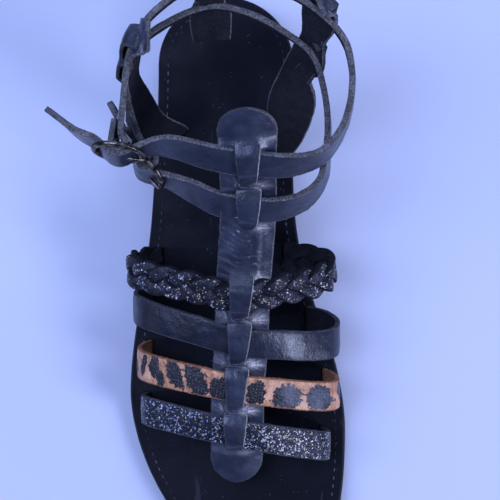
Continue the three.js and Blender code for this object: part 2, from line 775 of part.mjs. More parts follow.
// A stay runs inside both ankle straps, with a bridge over each
function stay(side) {
  const low = lowerStrap.stays[side];
  const high = upperStrap.stays[side];
  const upward = high.point.clone().sub(low.point).normalize();
  const sideways = low.along.clone();
  const row = (point, width, across = sideways) => ({
    point,
    across,
    width: width * STAY_WIDTH,
    thickness: STAY_THICKNESS,
  });
  const turned = (degrees) => {
    const angle = THREE.MathUtils.degToRad(degrees);
    const way = Math.sign(sideways.y);
    const inwards = -Math.sign(low.point.x);
    return vector(way * inwards * Math.sin(angle), way * Math.cos(angle), 0);
  };
  const drop = (ANKLE_STRAP_THICKNESS + STAY_THICKNESS) / 2 - SEAM_SINK;
  const inside = (frame) => offset(frame, 0, 0, -drop);
  const beyond = (frame, table) =>
    table.map((r) =>
      row(
        inside(frame)
          .addScaledVector(upward, r.rise * ANKLE_STRAP_WIDTH)
          .addScaledVector(frame.out, -r.lean * ANKLE_STRAP_WIDTH),
        r.width,
      ),
    );
  const feet = STAY_FEET[side].map((r) => row(spot(r, INSTEP_HEIGHT), r.width, turned(r.turn)));
  const rows = feet.length ? [footOf(feet[0]), ...feet] : beyond(low, BACK_TAIL);
  rows.push(row(inside(low), 1));
  rows.push(row(inside(low).lerp(inside(high), 0.5), WAIST_SHARE));
  rows.push(row(inside(high), 1));
  rows.push(...beyond(high, STAY_TOP));
  const path = route(rows);
  const bridges = [low, high].map((frame) =>
    bridge(frame, upward, ANKLE_STRAP_WIDTH, ANKLE_STRAP_THICKNESS),
  );
  return { path, strip: sweep(framesOf(path, 2), STRIP), bridges };
}

function footOf(row) {
  const point = row.point.clone();
  point.z = footbedTop(alongAt(point.y)) - SLOT_DEPTH;
  return { ...row, point };
}

const stays = ["medial", "lateral", "back"].map(stay);

// The slit that parts the back stay's tail in two
const backPath = stays[2].path;
const slitFrames = framesOf(backPath, 2, 0, BACK_SLIT_ROWS).map((f) => ({
  ...f,
  width: BACK_SLIT_WIDTH,
  thickness: 4 * STAY_THICKNESS,
}));
slitFrames.unshift({ ...slitFrames[0], point: offset(slitFrames[0], -STAY_THICKNESS, 0, 0) });
const backSlit = sweep(slitFrames, BOX);

// A buckle: an oval frame with a middle bar, and a prong that turns on the bar, comes up
// through the strap and lies on the frame's front end
const RING_STEPS = 16;
const BAR = [
  { share: -1, drop: 0 },
  { share: -0.8, drop: 1 },
  { share: 0, drop: 1 },
  { share: 0.8, drop: 1 },
  { share: 1, drop: 0 },
];
function buckleFrame(at, grow = 0) {
  const halfLength = BUCKLE_LENGTH / 2 - BUCKLE_WIRE_WIDTH / 2;
  const halfWidth = BUCKLE_WIDTH / 2 - BUCKLE_WIRE_WIDTH / 2;
  const ring = [];
  for (let i = 0; i < RING_STEPS; i++) {
    const angle = (2 * Math.PI * i) / RING_STEPS;
    const a = halfLength * Math.cos(angle);
    const b = halfWidth * Math.sin(angle);
    const radial = at.along
      .clone()
      .multiplyScalar(Math.cos(angle) / halfLength)
      .addScaledVector(at.across, Math.sin(angle) / halfWidth)
      .normalize();
    ring.push({
      point: offset(at, a, b, 0),
      along: at.along,
      across: radial,
      out: at.out,
      width: BUCKLE_WIRE_WIDTH,
      thickness: BUCKLE_WIRE_THICKNESS,
    });
  }
  const barRows = BAR.map(({ share, drop }) => ({
    point: offset(at, 0, share * halfWidth, -drop * BUCKLE_BAR_DROP),
    across: at.along.clone(),
    width: 2 * BUCKLE_BAR_RADIUS,
    thickness: 2 * BUCKLE_BAR_RADIUS,
  }));
  const bar = sweep(framesOf(route(barRows), 1), round(6), grow);
  return sweep(ring, round(6), grow, true).add(bar);
}

const PRONG = [
  { run: 0.12, rise: 0 },
  { run: 0.32, rise: 0.75 },
  { run: 0.62, rise: 1 },
  { run: 0.92, rise: 1 },
  { run: 1.12, rise: 0.93 },
];
const PRONG_LOOP_STEPS = 8;
function prong(at, grow = 0) {
  const size = { width: 2 * PRONG_RADIUS, thickness: 2 * PRONG_RADIUS };
  const loopRadius = BUCKLE_BAR_RADIUS + FIT_GAP + PRONG_RADIUS;
  const low = loopRadius - BUCKLE_BAR_DROP;
  const high = HALF_WIRE + FIT_GAP + PRONG_RADIUS;
  const shaftRows = PRONG.map(({ run, rise }) => ({
    point: offset(at, run * RIM_REACH, 0, low + (high - low) * rise),
    across: at.across.clone(),
    ...size,
  }));
  const loop = [];
  for (let i = 0; i < PRONG_LOOP_STEPS; i++) {
    const angle = (2 * Math.PI * i) / PRONG_LOOP_STEPS;
    const a = loopRadius * Math.cos(angle);
    const o = loopRadius * Math.sin(angle);
    const radial = at.along
      .clone()
      .multiplyScalar(Math.cos(angle))
      .addScaledVector(at.out, Math.sin(angle));
    loop.push({
      point: offset(at, a, 0, o - BUCKLE_BAR_DROP),
      along: at.along,
      across: radial,
      out: at.across,
      ...size,
    });
  }
  const shaft = sweep(framesOf(route(shaftRows), 1), round(6), grow);
  return sweep(loop, round(6), grow, true).add(shaft);
}

const buckles = { upper: upperStrap.buckle, lower: lowerStrap.buckle };

// The upper: every strip joined, then cleared round the metal that passes through it
const strips = [
  spine,
  ...spineBridges,
  ...crossStraps.flatMap((s) =>
    s.name === "braid" ? braid(s.path) : [sweep(framesOf(s.path, 2), STRIP)],
  ),
  upperStrap.strap,
  upperStrap.fold,
  lowerStrap.strap,
  lowerStrap.fold,
  ...stays.flatMap((s) => [s.strip, ...s.bridges]),
];
let upper = strips.reduce((sum, strip) => sum.add(strip));
upper = upper.subtract(backSlit);
for (const at of Object.values(buckles)) {
  upper = upper.subtract(buckleFrame(at, FIT_GAP)).subtract(prong(at, FIT_GAP));
}

// Punching leaves crumbs of leather, which fall away
upper = upper.decompose().reduce((a, b) => (a.volume() > b.volume() ? a : b));

// A slot through the footbed for each strip that enters it, cut along the strip's own way
function slotFor(path, strapEnd, slim) {
  const last = path.count - 1;
  const end = framesOf(path, 2, 0, SLOT_ROWS);
  const otherEnd = framesOf(path, 2, last, last - SLOT_ROWS);
  const frames = (strapEnd === "first" ? end : otherEnd).map(slim ? slimmed : (frame) => frame);
  const below = { ...frames[0], point: frames[0].point.clone() };
  below.point.z -= 2 * FOOTBED_THICKNESS;
  return sweep([below, ...frames], BOX, FIT_GAP);
}

let footbed = footbedSheet;
for (const { path, name } of crossStraps) {
  const slim = name === "braid";
  footbed = footbed.subtract(slotFor(path, "first", slim)).subtract(slotFor(path, "last", slim));
}
for (const { path } of stays.slice(0, 2)) {
  footbed = footbed.subtract(slotFor(path, "first", false));
}

function geometryOf(made) {
  const mesh = made.getMesh();
  const positions = new Float32Array(mesh.numVert * 3);
  for (let i = 0; i < mesh.numVert; i++) {
    for (let j = 0; j < 3; j++) positions[i * 3 + j] = mesh.vertProperties[i * mesh.numProp + j];
  }
  const geometry = new THREE.BufferGeometry();
  geometry.setAttribute("position", new THREE.BufferAttribute(positions, 3));
  geometry.setIndex(new THREE.BufferAttribute(new Uint32Array(mesh.triVerts), 1));
  geometry.computeVertexNormals();
  return geometry;
}

const rubber = { color: 0x0d0d10, roughness: 0.75, metalness: 0 };
const insoleLeather = { color: 0x0b0c14, roughness: 0.6, metalness: 0 };
const strapLeather = { color: 0x15161d, roughness: 0.5, metalness: 0 };
const brass = { color: 0x5e5138, roughness: 0.4, metalness: 1 };

const sandal = new THREE.Group();
function addPiece(name, made, finish) {
  const piece = new THREE.Mesh(geometryOf(made), new THREE.MeshStandardMaterial(finish));
  piece.name = name;
  sandal.add(piece);
}

addPiece("outsole", outsole, rubber);
addPiece("heel", heel, rubber);
addPiece("footbed", footbed, insoleLeather);
addPiece("upper", upper, strapLeather);
for (const [name, at] of Object.entries(buckles)) {
  addPiece(`buckle_frame_${name}`, buckleFrame(at), brass);
  addPiece(`buckle_prong_${name}`, prong(at), brass);
}

export default sandal;
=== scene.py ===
import json
import math

import bmesh
import bpy
import numpy as np
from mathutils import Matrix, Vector, noise

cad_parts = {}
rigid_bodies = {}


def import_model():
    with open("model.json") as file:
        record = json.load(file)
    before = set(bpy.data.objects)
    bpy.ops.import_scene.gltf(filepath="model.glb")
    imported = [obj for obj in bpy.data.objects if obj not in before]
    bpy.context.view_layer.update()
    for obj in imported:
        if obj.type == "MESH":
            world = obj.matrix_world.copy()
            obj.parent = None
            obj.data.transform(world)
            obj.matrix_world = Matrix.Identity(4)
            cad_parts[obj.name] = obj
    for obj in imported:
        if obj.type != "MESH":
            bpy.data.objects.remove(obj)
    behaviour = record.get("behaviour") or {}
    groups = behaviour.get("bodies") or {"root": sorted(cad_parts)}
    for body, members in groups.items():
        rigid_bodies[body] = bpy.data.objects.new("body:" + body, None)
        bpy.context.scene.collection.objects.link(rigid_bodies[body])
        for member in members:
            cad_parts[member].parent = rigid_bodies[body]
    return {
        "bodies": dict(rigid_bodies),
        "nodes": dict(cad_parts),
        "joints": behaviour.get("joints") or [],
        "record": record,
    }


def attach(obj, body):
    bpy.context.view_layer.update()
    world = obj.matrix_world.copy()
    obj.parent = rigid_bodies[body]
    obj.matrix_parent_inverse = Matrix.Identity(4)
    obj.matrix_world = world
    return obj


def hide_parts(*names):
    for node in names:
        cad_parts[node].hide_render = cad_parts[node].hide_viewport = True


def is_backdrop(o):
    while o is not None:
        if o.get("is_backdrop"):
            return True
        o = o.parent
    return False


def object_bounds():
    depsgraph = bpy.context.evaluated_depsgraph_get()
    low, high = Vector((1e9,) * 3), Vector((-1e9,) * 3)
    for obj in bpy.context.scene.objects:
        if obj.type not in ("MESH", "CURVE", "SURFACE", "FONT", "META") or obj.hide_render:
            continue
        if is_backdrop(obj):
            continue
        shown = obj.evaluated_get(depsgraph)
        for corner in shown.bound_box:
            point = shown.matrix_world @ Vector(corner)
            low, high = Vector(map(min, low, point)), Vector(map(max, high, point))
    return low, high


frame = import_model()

cad_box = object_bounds()

# Lengths are in millimetres, and every mesh is made in metres
MM = 0.001

# Sizes of the sole
SOLE_LENGTH = 238
HEEL_RADIUS = 54.6 / 2
HALF_BALL = 87.5 / 2
OUTSOLE_THICKNESS = 4.5
FOOTBED_THICKNESS = 3.2
HEEL_LIFT = 7
TOE_SPRING = 5.5
FOOTBED_INSET = 0.8
HEEL_INSET = 1.2
HEEL_LENGTH = 60
FIT_GAP = 0.3
STACK = OUTSOLE_THICKNESS + FIT_GAP + FOOTBED_THICKNESS

# Sizes of the straps
INSTEP_HEIGHT = 57
ANKLE_HEIGHT = INSTEP_HEIGHT + 12
CROSS_STRAP_WIDTH = 11.6
CROSS_STRAP_THICKNESS = 1.9
BRAID_WIDTH = 12.6
BRAID_THICKNESS = 4.6
BRAID_STRAND_WIDTH = 5.4
BRAID_STRAND_THICKNESS = 2.2
BRAID_PLAIT_LENGTH = 28
ANKLE_STRAP_WIDTH = 11
ANKLE_STRAP_THICKNESS = 2.2
SPINE_WIDTH = 20.5
SPINE_THICKNESS = 1.7
SPINE_DISC_WIDTH = 21.5
STAY_WIDTH = 15
STAY_THICKNESS = 1.7
BRIDGE_WIDTH = 8.8
BRIDGE_THICKNESS = 1.5
SEAM_SINK = 0.25
FOOT_CLEARANCE = 1.2
SLOT_DEPTH = FOOTBED_THICKNESS - FOOT_CLEARANCE

# Sizes of the buckles
BUCKLE_LENGTH = 20
BUCKLE_WIDTH = 17.4
BUCKLE_WIRE_WIDTH = 2.5
BUCKLE_WIRE_THICKNESS = 2
BUCKLE_BAR_RADIUS = 0.9
BUCKLE_BAR_DROP = 1.6
PRONG_RADIUS = 0.65

# The sole's outline: along as a share of its length, half width that the edges are shares of
OUTLINE = [
    (0.1144, HEEL_RADIUS, -1, 1),
    (0.1838, HEEL_RADIUS, -1.01, 0.994),
    (0.2961, HEEL_RADIUS, -1.058, 0.989),
    (0.3819, HALF_BALL, -0.693, 0.645),
    (0.4492, HALF_BALL, -0.74, 0.71),
    (0.5177, HALF_BALL, -0.805, 0.818),
    (0.6065, HALF_BALL, -0.875, 0.994),
    (0.6698, HALF_BALL, -0.896, 1.074),
    (0.7351, HALF_BALL, -0.888, 1.108),
]
TOE_TIP_ACROSS = 0.55
TOE_LATERAL = (0.6698, 1.76)
TOE_MEDIAL = (0.7351, 2.27)

# Height of the sole: shares of the way from heel to ball with a share of the heel lift, and
# of the way from ball to tip with a share of the toe spring
FLAT_FROM = 0.6
FLAT_TO = 0.755
SHANK = [(0, 1), (0.235, 0.93), (0.51, 0.66), (0.74, 0.27), (0.915, 0.05), (1, 0)]
TOE_RISE = [(0, 0), (0.225, 0.1), (0.51, 0.4), (0.8, 0.76), (1, 1)]

# The straps over the forefoot: crest, then slot and bulge on each side, as (along, across)
CROSS_STRAPS = {
    "glitter": {
        "crest": (0.7256, 0.105, 0.49),
        "lateral": ((0.694, -0.73), (0.693, -0.745)),
        "medial": ((0.753, 0.89), (0.7535, 0.925)),
    },
    "animal_print": {
        "crest": (0.6504, 0.114, 0.596),
        "lateral": ((0.606, -0.705), (0.619, -0.775)),
        "medial": ((0.655, 0.91), (0.6714, 1.01)),
    },
    "plain": {
        "crest": (0.5756, 0.142, 0.684),
        "lateral": ((0.512, -0.69), (0.528, -0.805)),
        "medial": ((0.5475, 0.75), (0.5857, 1.01)),
    },
    "braid": {
        "crest": (0.5021, 0.16, 0.807),
        "lateral": ((0.4466, -0.61), (0.466, -0.83)),
        "medial": ((0.4399, 0.55), (0.4739, 0.945)),
    },
}

# A strap's rise from slot to crest: share of the crest's height, of the way across and along
# from slot to bulge, and of the way from there to the crest
ARCH = [
    (0.06, 0.05, 0, 0), (0.24, 0.66, 0.2, 0), (0.46, 0.96, 0.55, 0), (0.64, 1, 0.84, 0.06),
    (0.8, 1, 1, 0.27), (0.95, 1, 1, 0.58),
]

# Rows of the ankle straps: along, across as a share of half the heel width, up as a share of
# the strap's height, lean in degrees, share of the width, and what is there
UPPER_STRAP = [
    (0.2159, -2.319, 0.855, 0, 0.45, ""),
    (0.2307, -2.147, 0.875, 0, 1, ""),
    (0.2522, -1.907, 0.9, 5, 1, ""),
    (0.2719, -1.675, 0.928, 12, 1, "rim"),
    (0.2815, -1.37, 0.942, 18, 1, "bar"),
    (0.2815, -1.04, 0.957, 25, 1, "rim"),
    (0.2736, -0.7, 0.971, 38, 1, ""),
    (0.2882, -0.205, 0.986, 48, 1, ""),
    (0.2987, 0.316, 1, 50, 1, "spine"),
    (0.3017, 0.872, 1, 40, 1, ""),
    (0.2886, 1.285, 1.014, 22, 1, ""),
    (0.2505, 1.542, 1.029, 8, 1, ""),
    (0.2068, 1.652, 1.058, 4, 1, ""),
    (0.1631, 1.663, 1.072, 4, 1, ""),
    (0.1223, 1.572, 1.087, 4, 1, ""),
    (0.0836, 1.274, 1.101, 5, 1, "medial"),
    (0.0504, 0.801, 1.116, 5, 1, ""),
    (0.0347, -0.176, 1.13, 5, 1, "back"),
    (0.0798, -0.861, 1.116, 5, 1, ""),
    (0.1269, -1.157, 1.087, 8, 1, "lateral"),
    (0.1764, -1.26, 1.04, 6, 1, ""),
    (0.2197, -1.311, 0.99, 6, 1, ""),
    (0.2501, -1.346, 0.955, 10, 1, ""),
]
LOWER_STRAP = [
    (0.2008, -1.538, 0.74, 0, 0.45, ""),
    (0.2144, -1.474, 0.77, 0, 1, ""),
    (0.2471, -1.314, 0.82, 4, 1, ""),
    (0.275, -1.194, 0.877, 10, 1, "rim"),
    (0.301, -1.042, 0.912, 18, 1, "bar"),
    (0.322, -0.801, 0.935, 28, 1, "rim"),
    (0.3369, -0.433, 0.965, 40, 1, ""),
    (0.3563, -0.085, 0.982, 48, 1, ""),
    (0.3659, 0.325, 1, 50, 1, "spine"),
    (0.3659, 0.726, 1, 44, 1, ""),
    (0.3521, 1.08, 1, 30, 1, ""),
    (0.3218, 1.308, 1.018, 14, 1, ""),
    (0.2765, 1.37, 1.035, 6, 1, ""),
    (0.2315, 1.381, 1.053, 4, 1, ""),
    (0.1865, 1.325, 1.07, 4, 1, ""),
    (0.1345, 1.168, 1.088, 4, 1, "medial"),
    (0.1005, 0.801, 1.105, 4, 1, ""),
    (0.0739, 0.321, 1.123, 4, 1, ""),
    (0.0647, -0.176, 1.123, 4, 1, "back"),
    (0.1006, -0.913, 1.11, 4, 1, ""),
    (0.1488, -1.253, 1.07, 6, 1, "lateral"),
    (0.1925, -1.282, 1, 6, 1, ""),
    (0.245, -1.178, 0.95, 8, 1, ""),
    (0.2736, -1.066, 0.925, 12, 1, ""),
]

# Feet of the side stays: along, across, up, turn in degrees, share of the width
STAY_FEET = {
    "medial": [
        (0.2576, 0.715, 0.02, 50, 0.92),
        (0.232, 0.849, 0.22, 62, 1.08),
        (0.187, 0.946, 0.52, 72, 1.22),
        (0.146, 0.994, 0.8, 55, 0.74),
    ],
    "lateral": [
        (0.2408, -0.753, 0.02, 45, 0.92),
        (0.228, -1.058, 0.2, 40, 1),
        (0.195, -1.226, 0.47, 28, 1),
        (0.17, -1.234, 0.76, 15, 0.78),
    ],
    "back": [],
}
STAY_TOP = [(0.72, 0.06, 0.9), (1, 0.3, 0.72)]
BACK_TAIL = [(-1.15, 0.2, 0.92), (-0.75, 0.05, 1)]
BACK_SLIT_WIDTH = 2.4
BACK_SLIT_ROWS = 1.2
WAIST_SHARE = 0.7
STAY_SLOT_EASE = 0.6


def vec(x, y, z):
    return np.array((x, y, z), float)


def unit(v):
    return v / np.maximum(np.linalg.norm(v, axis=-1, keepdims=True), 1e-12)


def smooth(t):
    t = np.clip(t, 0, 1)
    return t * t * (3 - 2 * t)


def lengths(points):
    """How far along a line of points each of them lies."""
    step = np.linalg.norm(np.diff(points, axis=0), axis=1)
    return np.concatenate([[0], np.cumsum(step)])


class Curve:
    """A smooth curve through points. Its parameter is the row number."""

    def __init__(self, points, even=False):
        p = np.array(points, float)
        self.last = len(p) - 1
        self.p = np.vstack([2 * p[0] - p[1], p, 2 * p[-1] - p[-2]])
        self.gap = np.sqrt(np.linalg.norm(np.diff(self.p, axis=0), axis=1))
        if even:
            self.gap[:] = 1

    def at(self, rows):
        t = np.clip(np.atleast_1d(np.asarray(rows, float)), 0, self.last)
        i = np.minimum(t.astype(int), self.last - 1)
        w = (t - i)[:, None]
        x0, x1, x2, x3 = (self.p[i + k] for k in range(4))
        d1 = self.gap[i + 1]
        d1 = np.where(d1 < 1e-4, 1, d1)
        d0 = np.where(self.gap[i] < 1e-4, d1, self.gap[i])[:, None]
        d2 = np.where(self.gap[i + 2] < 1e-4, d1, self.gap[i + 2])[:, None]
        d1 = d1[:, None]
        m1 = ((x1 - x0) / d0 - (x2 - x0) / (d0 + d1) + (x2 - x1) / d1) * d1
        m2 = ((x2 - x1) / d1 - (x3 - x1) / (d1 + d2) + (x3 - x2) / d2) * d1
        c2 = -3 * x1 + 3 * x2 - 2 * m1 - m2
        c3 = 2 * x1 - 2 * x2 + m1 + m2
        return x1 + m1 * w + c2 * w**2 + c3 * w**3

    def tangent(self, rows):
        t = np.atleast_1d(np.asarray(rows, float))
        step = 1e-3
        ahead = self.at(np.minimum(t + step, self.last))
        behind = self.at(np.maximum(t - step, 0))
        return unit(ahead - behind)


class Frames:
    """Points with directions along, across and out of a strip, and its sizes."""

    def __init__(self, point, along, across, width, thickness):
        self.point = point
        self.along = along
        square = across - along * np.sum(across * along, axis=1, keepdims=True)
        self.across = unit(square)
        self.out = np.cross(self.across, along)
        self.width = width
        self.thickness = thickness

    def offset(self, along, across, out):
        return self.point[0] + self.along[0] * along + self.across[0] * across + self.out[0] * out


class Route:
    """Rows of (point, across, width, thickness) with smooth curves through them."""

    def __init__(self, rows):
        self.last = len(rows) - 1
        self.middle = Curve([r[0] for r in rows])
        self.side = Curve([r[1] for r in rows])
        self.size = Curve([(r[2], r[3], 0) for r in rows], even=True)

    def frames(self, rows):
        size = self.size.at(rows)
        return Frames(
            self.middle.at(rows), self.middle.tangent(rows), self.side.at(rows), size[:, 0], size[:, 1]
        )

    def dense(self, per_row, start=0, end=None):
        end = self.last if end is None else end
        return self.frames(np.linspace(start, end, int(abs(end - start) * per_row) + 1))


def read(table, column, along):
    """One column of a table of rows that start with along, on a smooth curve."""
    keys = [row[0] for row in table]
    if along <= keys[0]:
        return table[0][column]
    if along >= keys[-1]:
        return table[-1][column]
    i = next(k for k, key in enumerate(keys) if key > along) - 1
    last = len(table) - 1
    before, a, b, after = (table[min(max(k, 0), last)] for k in (i - 1, i, i + 1, i + 2))

    def slope(low, high):
        return (high[column] - low[column]) / (high[0] - low[0])

    span = b[0] - a[0]
    flat = a[column] == b[column]
    start = 0 if flat or a[column] == before[column] else slope(before, b)
    end = 0 if flat or b[column] == after[column] else slope(a, after)
    t = (along - a[0]) / span
    return (
        (2 * t**3 - 3 * t**2 + 1) * a[column]
        + (t**3 - 2 * t**2 + t) * span * start
        + (3 * t**2 - 2 * t**3) * b[column]
        + (t**3 - t**2) * span * end
    )


outline = [(along, lateral * half, medial * half) for along, half, lateral, medial in OUTLINE]


def toe_edge(toe, column, along):
    start, power = toe
    tip = TOE_TIP_ACROSS * HALF_BALL
    t = min((along - start) / (1 - start), 1)
    return tip + (read(outline, column, start) - tip) * (1 - t**power) ** (1 / power)


def edges(along):
    """The sole's lateral and medial edge at a place along it."""
    back = min(along * SOLE_LENGTH / HEEL_RADIUS, 1)
    arc = math.sqrt(1 - (1 - back) ** 2)
    found = []
    for column, toe in ((1, TOE_LATERAL), (2, TOE_MEDIAL)):
        past = along > toe[0]
        found.append(toe_edge(toe, column, along) if past else read(outline, column, along) * arc)
    return found


heel_end = HEEL_LENGTH / SOLE_LENGTH
shank = [(heel_end + (FLAT_FROM - heel_end) * share, heel) for share, heel in SHANK]
toe_rise = [(FLAT_TO + (1 - FLAT_TO) * share, toe) for share, toe in TOE_RISE]


def carry(along):
    return HEEL_LIFT * read(shank, 1, along) + TOE_SPRING * read(toe_rise, 1, along)


def footbed_top(along):
    return carry(along) + STACK


def y_at(along):
    return HEEL_RADIUS - along * SOLE_LENGTH


def along_at(y):
    return (HEEL_RADIUS - y) / SOLE_LENGTH


# Meshes
SHARP_FROM = math.radians(40)


def finish_mesh(name, mesh, materials):
    for material in materials:
        mesh.materials.append(material)
    mesh.update()
    bm = bmesh.new()
    bm.from_mesh(mesh)
    bmesh.ops.recalc_face_normals(bm, faces=bm.faces)
    bm.to_mesh(mesh)
    bm.free()
    mesh.shade_smooth()
    mesh.set_sharp_from_angle(angle=SHARP_FROM)
    piece = bpy.data.objects.new(name, mesh)
    bpy.context.scene.collection.objects.link(piece)
    return piece


def skin(name, rings, materials, kinds=None, strip=None, loop=False, wear=None):
    """A closed mesh through rings of points in millimetres. Kinds names each ring segment's
    material, strip holds each point's place along and across its strip, and the last argument
    how much each point is rubbed and painted with a highlight."""
    n, m = rings.shape[:2]
    vertices = (rings.reshape(-1, 3) * MM).tolist()
    faces = []
    indices = []
    spans = n if loop else n - 1
    for i in range(spans):
        here = i * m
        ahead = ((i + 1) % n) * m
        for j in range(m):
            k = (j + 1) % m
            faces.append((here + j, here + k, ahead + k, ahead + j))
            indices.append(kinds[j] if kinds is not None else 0)
    if not loop:
        end = (n - 1) * m
        faces.append(tuple(range(m)))
        faces.append(tuple(end + j for j in reversed(range(m))))
        cap = max(kinds) if kinds is not None else 0
        indices += [min(cap, 1)] * 2
    mesh = bpy.data.meshes.new(name)
    mesh.from_pydata(vertices, [], faces)
    mesh.polygons.foreach_set("material_index", indices)
    if strip is not None:
        layer = mesh.uv_layers.new(name="strip")
        flat = strip.reshape(-1, 2) * MM
        corner = np.empty(len(mesh.loops), dtype=np.int32)
        mesh.loops.foreach_get("vertex_index", corner)
        layer.data.foreach_set("uv", flat[corner].ravel())
    if wear is not None:
        mesh.attributes.new("wear", "FLOAT", "POINT").data.foreach_set("value", wear.ravel())
    return finish_mesh(name, mesh, materials)


def place(piece, slot, *nodes):
    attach(piece, "root")
    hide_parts(*nodes)
    return piece


def wander(points, scale, seed):
    """Smooth noise at each point, from about -1 to 1."""
    flat = points.reshape(-1, points.shape[-1])
    pad = [seed] * (3 - flat.shape[1])
    values = [noise.noise(Vector([*(p * scale), *pad])) for p in flat]
    return np.array(values).reshape(points.shape[:-1])


EDGE_STEPS = 4
BACK_STEPS = 6


def strip_section(steps):
    """Points round a strip: share of the half width between the rounded edges, then the
    parts of the edge radius added across and up, the side they are on, and what they are:
    0 on top, 1 on an edge, 2 on the back."""
    quarter = [math.pi / 2 * i / EDGE_STEPS for i in range(EDGE_STEPS + 1)]
    points = [(1 - 2 * i / steps, 0, 1, 1, 0) for i in range(steps + 1)]
    points += [(-1, -math.sin(a), math.cos(a), 1, 1) for a in quarter[1:]]
    points += [(-1, -math.cos(a), -math.sin(a), -1, 1) for a in quarter]
    points += [(-1 + 2 * i / BACK_STEPS, 0, -1, -1, 2) for i in range(1, BACK_STEPS + 1)]
    points += [(1, math.sin(a), -math.cos(a), -1, 1) for a in quarter[1:]]
    points += [(1, math.cos(a), math.sin(a), 1, 1) for a in quarter[:-1]]
    return points


def section_kinds(section, edges_differ):
    """What each segment of a section is: 0 top, 1 edge, 2 back, 3 the positive side's edge, which can take
    a paler material as a painted highlight on the lit side.
    """
    kinds = []
    for j, here in enumerate(section):
        ahead = section[(j + 1) % len(section)]
        kind = here[4] if here[4] == ahead[4] == 0 else max(ahead[4], 1)
        kinds.append(3 if kind == 1 and here[0] > 0 and edges_differ else kind)
    return kinds


# How fast a cut edge wanders, how fast its roughness changes, how far apart the two edges'
# noise is read, and the greatest radius of an edge as a share of half the thickness
CUT_WANDER = 0.35
CUT_FUZZ = 1.7
CUT_APART = 3
ROUNDEST = 0.98


def strip(name, frames, materials, edge=0.5, ragged=0.12, fuzz=0.05, crown=0.0, relief=None, seed=0.0,
          steps=14, wear=None):
    """A leather strip swept along frames. Edge is the radius of its edges, ragged how much
    the cut wanders, fuzz how rough it is, and crown how much its middle stands up. Materials
    are for top, edges, back and, if it differs, the edge on the positive side, which is paler
    as a painted highlight on the lit side. Relief and the last function take the place along
    and across: one moves the strip out, and the other says how much it is rubbed and painted
    with a highlight."""
    s = lengths(frames.point)
    section = strip_section(steps)
    radius = np.minimum(edge, frames.thickness / 2 * ROUNDEST)
    half = frames.width / 2
    lines = [np.stack([s, s * 0 + side], axis=1) for side in (-CUT_APART, CUT_APART)]
    cut = [
        ragged * wander(line, CUT_WANDER, seed) + fuzz * wander(line, CUT_FUZZ, seed + 9)
        for line in lines
    ]
    rings = np.empty((len(s), len(section), 3))
    flat = np.empty((len(s), len(section), 2))
    rub_and_highlight_mask = np.zeros((len(s), len(section)))
    for j, (share, over, up, side, _) in enumerate(section):
        raw = cut[0] if share < 0 else cut[1]
        a = share * np.maximum(half - radius, 0.05) + over * radius + raw * share
        o = side * (frames.thickness / 2 - radius) + up * radius
        o = o + crown * (1 - np.clip(np.abs(a) / np.maximum(half, 0.1), 0, 1) ** 2)
        if relief is not None:
            o = o + relief(s, a)
        rings[:, j] = frames.point + frames.across * a[:, None] + frames.out * o[:, None]
        flat[:, j, 0] = s
        flat[:, j, 1] = a
        if wear is not None:
            rub_and_highlight_mask[:, j] = wear(s, a)
    kinds = section_kinds(section, len(materials) > 3)
    return skin(name, rings, materials, kinds, flat, wear=rub_and_highlight_mask)


def upper_strip(name, frames, materials, **looks):
    return place(strip(name, frames, materials, **looks), "upper", "upper")


